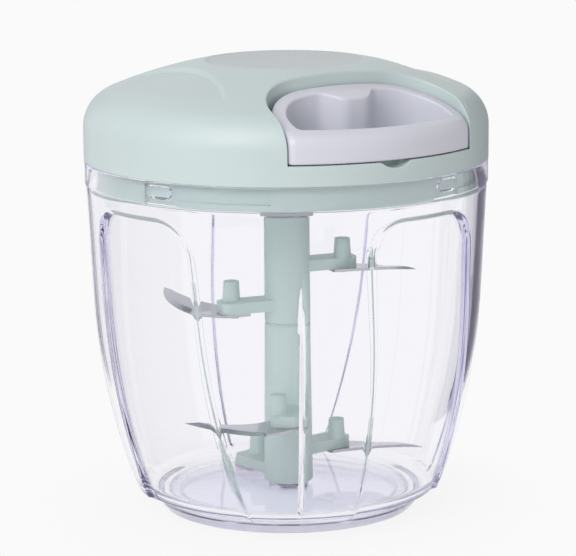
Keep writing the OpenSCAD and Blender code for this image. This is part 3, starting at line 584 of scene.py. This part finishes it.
        # The base is frosted underneath, inside the foot
        bowl.data.materials.append(material("clear_styrene_frosted"))
        for face in bowl.data.polygons:
            under = face.center.z < 3.7 * MM and face.center.xy.length < 39.2 * MM
            face.material_index = int(under)
        return {"FINISHED"}


# Lid: its face is meshed flat, by the distance along it from the axis

DOME_START = math.asin(FLAT_R / DOME_R)
DOME_END = math.atan2(SHOULDER[0], SHOULDER[1] - DOME_Z)
S_DOME = FLAT_R + DOME_R * (DOME_END - DOME_START)
S_SHOULDER = S_DOME + SHOULDER[2] * (math.pi / 2 - DOME_END)
S_LOW = S_SHOULDER + SHOULDER[1] - LID_LOW


def lid_profile(s):
    """Radius and height of the lid's outer face at a distance along it from the axis."""
    if s < FLAT_R:
        return s, LID_TOP
    if s < S_DOME:
        a = DOME_START + (s - FLAT_R) / DOME_R
        return DOME_R * math.sin(a), DOME_Z + DOME_R * math.cos(a)
    if s < S_SHOULDER:
        a = DOME_END + (s - S_DOME) / SHOULDER[2]
        return SHOULDER[0] + SHOULDER[2] * math.sin(a), SHOULDER[1] + SHOULDER[2] * math.cos(a)
    return LID_R, SHOULDER[1] - (s - S_SHOULDER)


def lid_distance(r):
    """Distance along the lid's face at which it reaches a radius."""
    if r <= FLAT_R:
        return r
    if r <= DOME_R * math.sin(DOME_END):
        return FLAT_R + DOME_R * (math.asin(r / DOME_R) - DOME_START)
    return S_DOME + SHOULDER[2] * (math.asin(min(1.0, (r - SHOULDER[0]) / SHOULDER[2])) - DOME_END)


def dome_height(r):
    """Height of the dome at a radius."""
    return DOME_Z + math.sqrt(DOME_R ** 2 - r ** 2)


class ChopperLid(bpy.types.Operator):
    """Makes the domed lid shell with its scoops and the handle's pocket"""

    bl_idname = "chopper.lid"
    bl_label = "Lid"

    def on_face(self, flat):
        """A point of the flattened face, back on the lid."""
        s = math.hypot(flat[0], flat[1])
        r, z = lid_profile(min(s, S_LOW))
        if s > 1e-9:
            x, y = flat[0] / s * r, flat[1] / s * r
        else:
            x = y = 0.0
        depth, edge, disc_sink = 0.0, 0.9, 0.3
        if SCOOP_IN < r < SCOOP_OUT:
            line = dome_height(SCOOP_IN) - self.scoop_depth
            line += (dome_height(SCOOP_OUT) - line) * (r - SCOOP_IN) / (SCOOP_OUT - SCOOP_IN)
            for side in (-1, 1):
                inside = SCOOP_R - math.hypot(x - side * SCOOP_X, y - SCOOP_Y)
                depth += max(0.0, dome_height(r) - line) * float(smooth_step(inside / edge + 0.5))
        # The flat disc on top lies a little lower than the dome's edge round it
        depth += disc_sink * float(smooth_step((FLAT_R - r) / edge + 0.2))
        return Vector((x, y, z - depth))

    def loop(self):
        """The pocket's edge as points with a wall normal, all the way round from the right front."""
        turn = math.asin(POCKET_HALF / LID_R)
        corner_y, inner = -POCKET_BACK - POCKET_CORNER, POCKET_HALF - POCKET_CORNER
        points = []

        def upright(side, first, last):
            for z in np.linspace(first, last, 7)[:-1]:
                points.append(((side * POCKET_HALF, -POCKET_FRONT, z), (side, 0, 0), "edge"))

        def flank(side, first, last):
            for t in np.linspace(first, last, 26)[:-1]:
                y = -POCKET_FRONT + (POCKET_FRONT + corner_y) * (1 - math.cos(t * math.pi / 2))
                points.append(((side * POCKET_HALF, y, None), (side, 0, 0), "wall"))

        def bend(side, first, last):
            for a in np.linspace(first, last, 25)[:-1]:
                way = (math.cos(a), math.sin(a), 0)
                x, y = side * inner + POCKET_CORNER * way[0], corner_y + POCKET_CORNER * way[1]
                points.append(((x, y, None), way, "wall"))

        upright(1, POCKET_Z, SHOULDER[1])
        flank(1, 0, 1)
        bend(1, 0, math.pi / 2)
        for x in np.linspace(inner, -inner, 25)[:-1]:
            points.append(((x, -POCKET_BACK, None), (0, 1, 0), "wall"))
        bend(-1, math.pi / 2, math.pi)
        flank(-1, 1, 0)
        upright(-1, SHOULDER[1], POCKET_Z)
        for a in np.linspace(-turn, turn, 73)[:-1]:
            x, z = LID_R * math.sin(a), POCKET_Z
            if abs(x) < math.sqrt(NOTCH_R ** 2 - NOTCH_UP ** 2):
                z = POCKET_Z + NOTCH_UP - math.sqrt(NOTCH_R ** 2 - x ** 2)
            points.append(((x, -LID_R * math.cos(a), z), (0, 0, -1), "sill"))
        return points

    def execute(self, context):
        sizes = context.scene.chopper_sizes
        self.scoop_depth = sizes.scoop_depth
        loop = self.loop()
        count = len(loop)
        flat = []
        for (x, y, z), _, _ in loop:
            s = S_SHOULDER + SHOULDER[1] - z if z is not None else lid_distance(math.hypot(x, y))
            flat.append(Vector((x, y)).normalized() * s)
        # The lip is widest behind the handle and small on its front edges
        lips = []
        for (_, y, _), _, kind in loop:
            back = smooth_step((y + 60) / 22)
            lips.append(0.5 + (sizes.lip - 0.5) * float(back) if kind == "wall" else 0.5)
        skin_edge = []
        for i in range(count):
            ahead = (flat[(i + 1) % count] - flat[i]).normalized()
            behind = (flat[i] - flat[i - 1]).normalized()
            tangent = (ahead + behind).normalized()
            outward = Vector((tangent.y, -tangent.x))
            skin_edge.append(flat[i] + outward * lips[i])
        points, faces = self.skin(skin_edge)
        obj = self.sheet(points, faces, loop, flat, skin_edge, lips)
        # The wall thins towards the sharp edges at the pocket's front, and below to leave the seal room
        full = obj.vertex_groups.new(name="wall")
        seal_top, seal_room, edge_share, edge_reach = 117.0, 0.34, 0.06, 5.0
        for v in obj.data.vertices:
            away = math.hypot(abs(v.co.x / MM) - POCKET_HALF, v.co.y / MM + POCKET_FRONT)
            room = seal_room if v.co.z < seal_top * MM else 1.0
            full.add([v.index], min(room, max(edge_share, away / edge_reach)), "REPLACE")
        apply_modifier(
            obj, "SOLIDIFY", thickness=sizes.lid_wall * MM, offset=-1.0, use_even_offset=False,
            vertex_group="wall")
        dress(obj, "mint_abs_moulded", "lid", "lid_shell", angle=38)
        # The flat disc on top takes the greyer mint, a painted reflection in its flat face
        obj.data.materials.append(material("mint_abs_polished_painted_reflection"))
        for face in obj.data.polygons:
            disc = face.center.z > (LID_TOP - 1) * MM and face.center.xy.length < (FLAT_R - 0.4) * MM
            face.material_index = int(disc)
        return {"FINISHED"}

    def skin(self, hole):
        """The lid's face outside the pocket, meshed flat: rings of points, with the pocket cut out."""
        around = np.linspace(0, 2 * math.pi, 289)[:-1]
        outer = [Vector((math.sin(a), -math.cos(a))) * S_LOW for a in around]
        polygon = np.array([tuple(p) for p in hole])
        gap = 0.7
        fill = []
        rings = [0.0, *np.arange(2.0, FLAT_R - 1.6, 2.2), *np.linspace(FLAT_R - 1.2, FLAT_R + 0.9, 7)]
        rings += [*np.arange(FLAT_R + 1.8, S_DOME, 0.9), *np.linspace(S_DOME, S_SHOULDER, 15)[1:]]
        rings += [*np.linspace(S_SHOULDER, S_LOW, 7)[1:-1], S_LOW - 0.35]
        for s in rings:
            steps = max(1, min(288, int(2 * math.pi * s / 1.1)))
            for k in range(steps):
                a = 2 * math.pi * (k + 0.5 * (len(fill) % 2)) / steps
                p = Vector((math.sin(a), -math.cos(a))) * s
                if p.y > -20 or not near_or_inside(p, polygon, gap):
                    fill.append(p)
        # Rows of points along the scoops' edges, which the rings would blur
        for radius in (77.2, 77.55, 77.85, 78.15, 78.45, 78.8):
            for side in (-1, 1):
                for a in np.arange(-0.7, 0.7, 0.009):
                    x, y = side * (SCOOP_X - radius * math.cos(a)), SCOOP_Y + radius * math.sin(a)
                    r = math.hypot(x, y)
                    p = Vector((x, y)).normalized() * lid_distance(min(r, LID_R - 0.1))
                    if r < SCOOP_OUT + 1 and not near_or_inside(p, polygon, gap):
                        fill.append(p)
        flat = outer + list(hole) + fill
        edges = [(i, (i + 1) % len(outer)) for i in range(len(outer))]
        start = len(outer)
        edges += [(start + i, start + (i + 1) % len(hole)) for i in range(len(hole))]
        verts, _, tris = delaunay_2d_cdt(flat, edges, [], 0, 1e-6)[:3]
        kept = []
        for f in tris:
            middle = sum((verts[i] for i in f), Vector((0, 0))) / 3
            if middle.length < S_LOW and not in_polygon(middle, polygon):
                kept.append(tuple(f))
        return [tuple(v) for v in verts], kept

    def sheet(self, flat_points, faces, loop, flat, skin_edge, lips):
        """Joins the skin, the rolled lip, the pocket's walls and its floor into one sheet."""
        mesh = bmesh.new()
        skin = [mesh.verts.new(self.on_face(p) * MM) for p in flat_points]
        for f in faces:
            mesh.faces.new([skin[i] for i in f])
        count = len(loop)
        start = [self.on_face(p) for p in skin_edge]
        corner, wall = [], []
        for i, (place, _, kind) in enumerate(loop):
            corner.append(self.on_face(flat[i]) if kind == "wall" else Vector(place))
        for i, ((x, y, _), normal, kind) in enumerate(loop):
            tangent = (corner[(i + 1) % count] - corner[i - 1]).normalized()
            inward = tangent.cross(Vector(normal))
            if kind == "sill":
                inward = Vector((-x, -y, 0))
            inward.normalize()
            wall.append(corner[i] + inward * lips[i])
        rows, steps, sill_r = [], 6, 60.0
        for k in range(steps + 1):
            bent = [curve_point(*three, k / steps) for three in zip(start, corner, wall)]
            rows.append([mesh.verts.new(p * MM) for p in bent])
        for a, b in zip(rows, rows[1:]):
            for i in range(count):
                j = (i + 1) % count
                mesh.faces.new((a[i], a[j], b[j], b[i]))
        kinds = ("wall", "edge", "sill")
        walls, edges, sill = ([i for i in range(count) if loop[i][2] == kind] for kind in kinds)
        foot = {i: mesh.verts.new(Vector((wall[i].x, wall[i].y, POCKET_Z)) * MM) for i in walls}
        for i, j in zip(walls, walls[1:]):
            mesh.faces.new((rows[-1][i], rows[-1][j], foot[j], foot[i]))
        right = [i for i in edges if loop[i][0][0] > 0]
        left = [i for i in edges if loop[i][0][0] < 0]
        first, last = walls[0], walls[-1]
        mesh.faces.new([rows[-1][i] for i in right] + [rows[-1][first], foot[first]])
        mesh.faces.new([foot[last], rows[-1][last]] + [rows[-1][i] for i in left] + [rows[-1][sill[0]]])
        # The sill runs in to the floor; the thumb notch in it ends in a small step
        low, high = [], []
        for i in sill + [right[0]]:
            point = Vector((wall[i].x, wall[i].y)) * sill_r / math.hypot(wall[i].x, wall[i].y)
            low.append(mesh.verts.new(Vector((point.x, point.y, wall[i].z)) * MM))
            high.append(mesh.verts.new(Vector((point.x, point.y, POCKET_Z)) * MM))
        across = [rows[-1][i] for i in sill + [right[0]]]
        for k in range(len(sill)):
            mesh.faces.new((across[k], across[k + 1], low[k + 1], low[k]))
            mesh.faces.new((low[k], low[k + 1], high[k + 1], high[k]))
        mesh.faces.new([foot[i] for i in walls] + high)
        bmesh.ops.remove_doubles(mesh, verts=mesh.verts[:], dist=2e-6)
        return bmesh_object("lid_dome", mesh)


def in_polygon(p, polygon):
    """Whether a point lies inside a closed outline."""
    x, y = p[0], p[1]
    x0, y0 = polygon[:, 0], polygon[:, 1]
    x1, y1 = np.roll(x0, -1), np.roll(y0, -1)
    crossing = (y0 > y) != (y1 > y)
    with np.errstate(divide="ignore", invalid="ignore"):
        at = x0 + (y - y0) * (x1 - x0) / (y1 - y0)
    return bool(np.count_nonzero(crossing & (x < at)) % 2)


def near_or_inside(p, polygon, gap):
    """Whether a point lies inside an outline or close to it."""
    a, b = polygon, np.roll(polygon, -1, axis=0)
    d = b - a
    t = np.clip(((np.array(p) - a) * d).sum(1) / np.maximum((d * d).sum(1), 1e-12), 0, 1)
    distance = np.linalg.norm(a + d * t[:, None] - np.array(p), axis=1).min()
    return distance < gap or in_polygon(p, polygon)


# Handle

class ChopperHandle(bpy.types.Operator):
    """Makes the pull handle, a rolled ring with the cord's boss"""

    bl_idname = "chopper.handle"
    bl_label = "Handle"

    def rings(self):
        """Matching points of the handle's outer and inner outline."""
        def outline(half, back, corner, radius, pinch):
            """Right front, side, back corner, back, then mirrored: points of one outline."""
            front = math.sqrt(radius ** 2 - half ** 2)
            turn = math.asin(half / radius)
            side = [(half, y) for y in np.linspace(-front + pinch, -back - corner, 14)]
            bend = [(half - corner + corner * math.cos(a), -back - corner + corner * math.sin(a))
                    for a in np.linspace(0, math.pi / 2, 18)[1:]]
            rear = [(x, -back) for x in np.linspace(half - corner, 0, 26)[1:]]
            right = side + bend + rear
            left = [(-x, y) for x, y in reversed(right[:-1])]
            bar = [(radius * math.sin(a), -radius * math.cos(a))
                   for a in np.linspace(-turn + pinch / radius, turn - pinch / radius, 60)]
            return right + left + bar

        outer = outline(half=32.4, back=32.0, corner=19.0, radius=LID_R, pinch=0.8)
        inner = outline(half=27.8, back=36.4, corner=14.4, radius=60.4, pinch=1.0)
        # The boss round the cord stands in from the inner back wall and runs out softly into it
        boss_reach, boss_half = 6.4, 7.6
        with_boss = []
        for x, y in inner:
            if y > -37:
                y -= boss_reach * math.exp(-((abs(x) / boss_half) ** 4.0))
            with_boss.append((x, y))
        return outer, with_boss

    def execute(self, context):
        sizes = context.scene.chopper_sizes
        outer, inner = self.rings()
        low, plain_roll, small = 121.6, 0.8, 0.7
        crown_r, crown_y, crown_z = 170.0, 8.0, -24.1

        def top(p):
            return crown_z + math.sqrt(crown_r ** 2 - p[0] ** 2 - (p[1] - crown_y) ** 2)

        def at(p, z):
            return Vector((p.x, p.y, z))

        def bend(a, control, b, steps):
            return [curve_point(a, control, b, k / steps) for k in range(steps + 1)]

        mesh = bmesh.new()
        loops = []
        for o, i in zip(outer, inner):
            o, i = Vector(o), Vector(i)
            way = (i - o).normalized()
            width = (i - o).length
            # The outer edge is rolled along the front bar only
            front = float(smooth_step((o.length - 60) / 4.5)) * float(smooth_step((-o.y - 50) / 7))
            roll = min(plain_roll + (sizes.handle_roll - plain_roll) * front, width * 0.55)
            inset = min(0.9, width * 0.3)
            top_o, top_i = top(o), top(i)
            top_or, top_ir = top(o + way * roll), top(i - way * inset)
            section = bend(at(o + way * small, low), at(o, low), at(o, low + small), 3)
            section += bend(at(o, top_o - roll), at(o, top_o), at(o + way * roll, top_or), 6)
            section += bend(at(i - way * inset, top_ir), at(i, top_i), at(i, top_i - inset), 5)
            section += bend(at(i, low + small), at(i, low), at(i - way * small, low), 3)
            loops.append([mesh.verts.new(p * MM) for p in section])
        for a, b in zip(loops, loops[1:] + loops[:1]):
            for k in range(len(a)):
                n = (k + 1) % len(a)
                mesh.faces.new((a[k], b[k], b[n], a[n]))
        obj = bmesh_object("handle_ring", mesh)
        dress(obj, "lavender_abs_moulded", "handle", "pull_handle", angle=50)
        return {"FINISHED"}


# Blade column

class ChopperColumn(bpy.types.Operator):
    """Makes the two hubs of the blade column with softened edges"""

    bl_idname = "chopper.column"
    bl_label = "Blade column"

    def execute(self, context):
        for node in ("lower_hub", "upper_hub"):
            hub = cad_copy(node, node + "_moulded")
            apply_modifier(
                hub, "BEVEL", width=0.35 * MM, segments=2, limit_method="ANGLE",
                angle_limit=math.radians(40), harden_normals=False)
            # The hubs take the lighter mint, painted light for pieces behind the clear wall
            dress(hub, "mint_abs_inner_painted_light", "blades", node, angle=35)
        return {"FINISHED"}


class ChopperFittings(bpy.types.Operator):
    """Gives the CAD model's own pieces their materials"""

    bl_idname = "chopper.fittings"
    bl_label = "Steel and inner mouldings"

    def execute(self, context):
        turned = ("pivot_pin", "reel_axle", "axle_screw", "axle_washer", "cord_stop", "lid_screws")
        # The lid's base takes the lighter mint, painted light for pieces behind the clear wall
        finish = {
            "lid_base": "mint_abs_inner_painted_light", "cord_reel": "lavender_abs_moulded",
            "spring_cover": "lavender_abs_moulded", "drive_hub": "lavender_abs_moulded",
            "lid_seal": "silicone_moulded", "foot_ring": "clear_foot_moulded",
            "cord_eyelet": "silicone_moulded"}
        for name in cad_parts:
            if name in turned or "pins" in name:
                finish[name] = "steel_pin_turned"
            elif "_blade_" in name:
                finish[name] = "stainless_blade_ground"
        for name, key in finish.items():
            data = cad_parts[name].data
            data.materials.clear()
            data.materials.append(material(key))
        return {"FINISHED"}


class ChopperSpring(bpy.types.Operator):
    """Makes the spiral spring, split where it joins the reel: its coil and its end in the reel"""

    bl_idname = "chopper.spring"
    bl_label = "Spring"

    def execute(self, context):
        axle_r, cup_r, thick, turns = 3.0, 19.5, 0.5, 6
        low, high = 131.1, 136.9
        first, last = axle_r + 1.0, cup_r - 0.6
        coil = [Vector((x, 0, 0)) for x in (-axle_r, 0, first - 0.4)]
        for a in np.linspace(0.08, 2 * math.pi * turns, 400):
            r = first + (last - first) * a / (2 * math.pi * turns)
            coil.append(Vector((r * math.cos(a), r * math.sin(a), 0)))
        end = [Vector((x, 0, 0)) for x in (last + thick / 2 + 0.03, cup_r + 1.3)]
        section = [(thick / 2, low), (-thick / 2, low), (-thick / 2, high), (thick / 2, high)]
        for obj, body, nodes in (
                (swept("spring_coil", coil, section), "lid", ["spiral_spring"]),
                (swept("spring_end", end, section), "reel", [])):
            dress(obj, "spring_steel_tempered", body, *nodes, angle=30)
        return {"FINISHED"}


class ChopperCord(bpy.types.Operator):
    """Makes the braided cord: its turns on the reel and the stretch to the handle"""

    bl_idname = "chopper.cord"
    bl_label = "Cord"

    def tube(self, name, line, radius=1.0, sides=14, pulled_from=-math.inf, pulled=1.0):
        """A round tube along level points, with the braid laid out on it in units of 1.2 mm.

        Past a place on the pull's way, the braid is laid out for the length that the pull gives it.
        """
        turns = [2 * math.pi * k / sides for k in range(sides)]
        obj = swept(name, line, [(radius * math.cos(a), radius * math.sin(a)) for a in turns])
        laid, travel = [], 0.0
        for i, p in enumerate(line):
            step = (p - line[i - 1]).length if i else 0.0
            travel += step * pulled if p.y < pulled_from else step
            laid += [(travel / 1.2, k / sides * 5) for k in range(sides)]
        braid = obj.data.uv_layers.new(name="braid")
        for loop in obj.data.loops:
            braid.data[loop.index].uv = laid[loop.vertex_index]
        return obj

    def execute(self, context):
        cord_z, wind_r, step, turns = 127.5, 19.0, 2.5, 3.36
        leave = math.radians(224.73)
        coil = []
        for left in np.linspace(1, 0, 324):
            back = turns * left
            a, r = leave - 2 * math.pi * back, wind_r - step * back
            coil.append(Vector((r * math.cos(a), r * math.sin(a), cord_z)))
        wound = self.tube("cord_turns", coil)
        dress(wound, "nylon_cord_braided", "reel", "cord_winding", angle=60)
        # From the reel to the eyelet, round it and straight to the handle
        start, turn = coil[-1], Vector((0, -27.0, cord_z))
        run = [start.lerp(turn, t) for t in (0.03, 0.2, 0.4, 0.6, 0.75, 0.86, 0.94)]
        still, moving, pull = -31.0, -36.6, 300.0
        ahead = (-27.9, -28.6, -29.3, -30.2, *np.linspace(still, -36.8, 14))
        run += [Vector((0, y, cord_z)) for y in ahead]
        lead = self.tube("cord_run", run, pulled_from=still, pulled=1 + pull / (still - moving))
        dress(lead, "nylon_cord_braided", None, angle=60)
        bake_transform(lead)
        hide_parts("cord_lead")
        return {"FINISHED"}


class ChopperStage(bpy.types.Operator):
    """Sets the camera, the pale floor and the soft studio light"""

    bl_idname = "chopper.stage"
    bl_label = "Stage"

    def execute(self, context):
        self.camera(context)
        # Light runs to and fro inside the clear wall many times before it comes out
        for kind in ("max", "glossy", "transmission"):
            setattr(context.scene.cycles, kind + "_bounces", 48)
        self.world(context)
        self.floor(context)
        self.card("right_card", (0.103, 0.0), (0.150, 0.36), "#A8A2B0")
        self.card("left_card", (-0.116, 0.10), (-0.130, 0.20), "#B9B4C6")
        self.lamp("key_light", (-1.23, -0.65, 0.975), (0, 0, 0.1), 1.2, 17.0)
        return {"FINISHED"}

    def camera(self, context):
        """The photograph's own view, turned from the pull's direction and a little above the rim."""
        data = bpy.data.cameras.new("photo_view")
        data.lens, data.sensor_width, data.clip_start = 167.75, 36.0, 0.05
        camera = linked("photo_view", data)
        elevation, distance = math.radians(11.54), 0.873
        away = -BEHIND * math.cos(elevation) + Vector((0, 0, math.sin(elevation)))
        place = Vector((0, 0, 0.070)) + away * distance
        target = Vector((0, 0, 0.07455)) + ACROSS * 0.0003
        turn = (target - place).to_track_quat("-Z", "Y").to_matrix().to_4x4()
        roll = Matrix.Rotation(math.radians(-0.45), 4, "Z")
        camera.matrix_world = Matrix.Translation(place) @ turn @ roll
        context.scene.camera = camera

    def world(self, context):
        """Even light from all round; rays that see the background find it near white."""
        world = bpy.data.worlds.new("studio")
        context.scene.world = world
        tree = empty_tree(world)
        light = add_node(tree, "ShaderNodeBackground", {"Color": (1, 1, 1, 1), "Strength": 0.5})
        backdrop = add_node(
            tree, "ShaderNodeBackground",
            {"Color": linear(context.scene.chopper_colours.backdrop), "Strength": 1.0})
        both = mixed(
            tree, seeing_rays(tree), light.outputs["Background"], backdrop.outputs["Background"])
        add_node(tree, "ShaderNodeOutputWorld", Surface=both)

    def floor(self, context):
        """A paper sweep that keeps the shadow near the object and fades to the background's white."""
        deselect()
        bpy.ops.mesh.primitive_plane_add(size=6.0, location=(0, 0, 0))
        floor = context.object
        floor.name = "studio_floor"
        paper, tree, place = new_material("studio_paper")
        colour = linear(context.scene.chopper_colours.backdrop)
        distance = add_node(tree, "ShaderNodeVectorMath", {"operation": "LENGTH"}, Vector=place)
        fade = spread(tree, distance.outputs["Value"], 0.92, 1.0, 0.04, 0.1)
        fade.node.interpolation_type = "SMOOTHSTEP"
        shown = maths(tree, "MULTIPLY", fade, seeing_rays(tree))
        grain = noise(tree, place, 0.002, 3.0)
        matt = add_node(
            tree, "ShaderNodeBsdfDiffuse", {"Color": colour}, Normal=relief(tree, grain, 0.03, 0.0001))
        white = add_node(tree, "ShaderNodeEmission", {"Color": colour, "Strength": 1.0})
        both = mixed(tree, shown, matt.outputs["BSDF"], white.outputs["Emission"])
        add_node(tree, "ShaderNodeOutputMaterial", Surface=both)
        floor.data.materials.append(paper)

    def card(self, name, near, far, colour, height=0.2):
        """A grey card along the edge of the view, from a near to a far (across, behind) place.

        Only mirrored rays see it: the clear wall's edges mirror it, and so they show against the white.
        """
        up = Vector((0, 0, height / MM))
        low = [(ACROSS * side + BEHIND * behind) / MM for side, behind in (near, far)]
        board = mesh_object(name, low + [low[1] + up, low[0] + up], [(0, 1, 2, 3)])
        paper, tree, place = new_material(name + "_paper")
        tone = two_tone(tree, noise(tree, place, 0.01), colour, 0.94)
        matt = add_node(tree, "ShaderNodeBsdfDiffuse", Color=tone)
        unseen = add_node(tree, "ShaderNodeBsdfTransparent")
        path = add_node(tree, "ShaderNodeLightPath").outputs
        mirrored = maths(tree, "GREATER_THAN", path["Glossy Depth"], 0.5)
        both = mixed(tree, mirrored, unseen.outputs["BSDF"], matt.outputs["BSDF"])
        add_node(tree, "ShaderNodeOutputMaterial", Surface=both)
        board.data.materials.append(paper)

    def lamp(self, name, place, target, size, watts):
        """A large soft lamp. It lights pieces behind the clear wall, which doesn't show its square."""
        data = bpy.data.lights.new(name, "AREA")
        data.shape, data.size, data.energy = "SQUARE", size, watts
        lamp = linked(name, data)
        aim = (Vector(target) - Vector(place)).to_track_quat("-Z", "Y").to_matrix().to_4x4()
        lamp.matrix_world = Matrix.Translation(place) @ aim
        tree = empty_tree(data)
        path = add_node(tree, "ShaderNodeLightPath").outputs
        scattered = maths(tree, "GREATER_THAN", path["Diffuse Depth"], 0.5)
        outside = maths(tree, "LESS_THAN", path["Transmission Depth"], 0.5)
        shining = maths(tree, "MAXIMUM", scattered, outside)
        glow = add_node(tree, "ShaderNodeEmission", Strength=shining)
        add_node(tree, "ShaderNodeOutputLight", Surface=glow.outputs["Emission"])


class ChopperPanel(bpy.types.Panel):
    """Shows the chopper's sizes, colours and pieces"""

    bl_idname = "VIEW3D_PT_chopper"
    bl_label = "Food chopper"
    bl_space_type = "VIEW_3D"
    bl_region_type = "UI"
    bl_category = "Chopper"

    def draw(self, context):
        for group in (context.scene.chopper_sizes, context.scene.chopper_colours):
            for name in group.__annotations__:
                self.layout.prop(group, name)
        for piece in PIECES:
            self.layout.operator(piece.bl_idname)


PIECES = (
    ChopperStage, ChopperBowl, ChopperLid, ChopperHandle, ChopperColumn, ChopperFittings, ChopperSpring,
    ChopperCord)
CLASSES = (ChopperSizes, ChopperColours) + PIECES + (ChopperPanel,)


def register():
    for each in CLASSES:
        bpy.utils.register_class(each)
    bpy.types.Scene.chopper_sizes = bpy.props.PointerProperty(type=ChopperSizes)
    bpy.types.Scene.chopper_colours = bpy.props.PointerProperty(type=ChopperColours)


def unregister():
    del bpy.types.Scene.chopper_colours
    del bpy.types.Scene.chopper_sizes
    for each in reversed(CLASSES):
        bpy.utils.unregister_class(each)


def main():
    register()
    bpy.context.scene.view_settings.view_transform = "Standard"
    for piece in PIECES:
        group, name = piece.bl_idname.split(".")
        getattr(getattr(bpy.ops, group), name)()


if __name__ == "__main__":
    main()
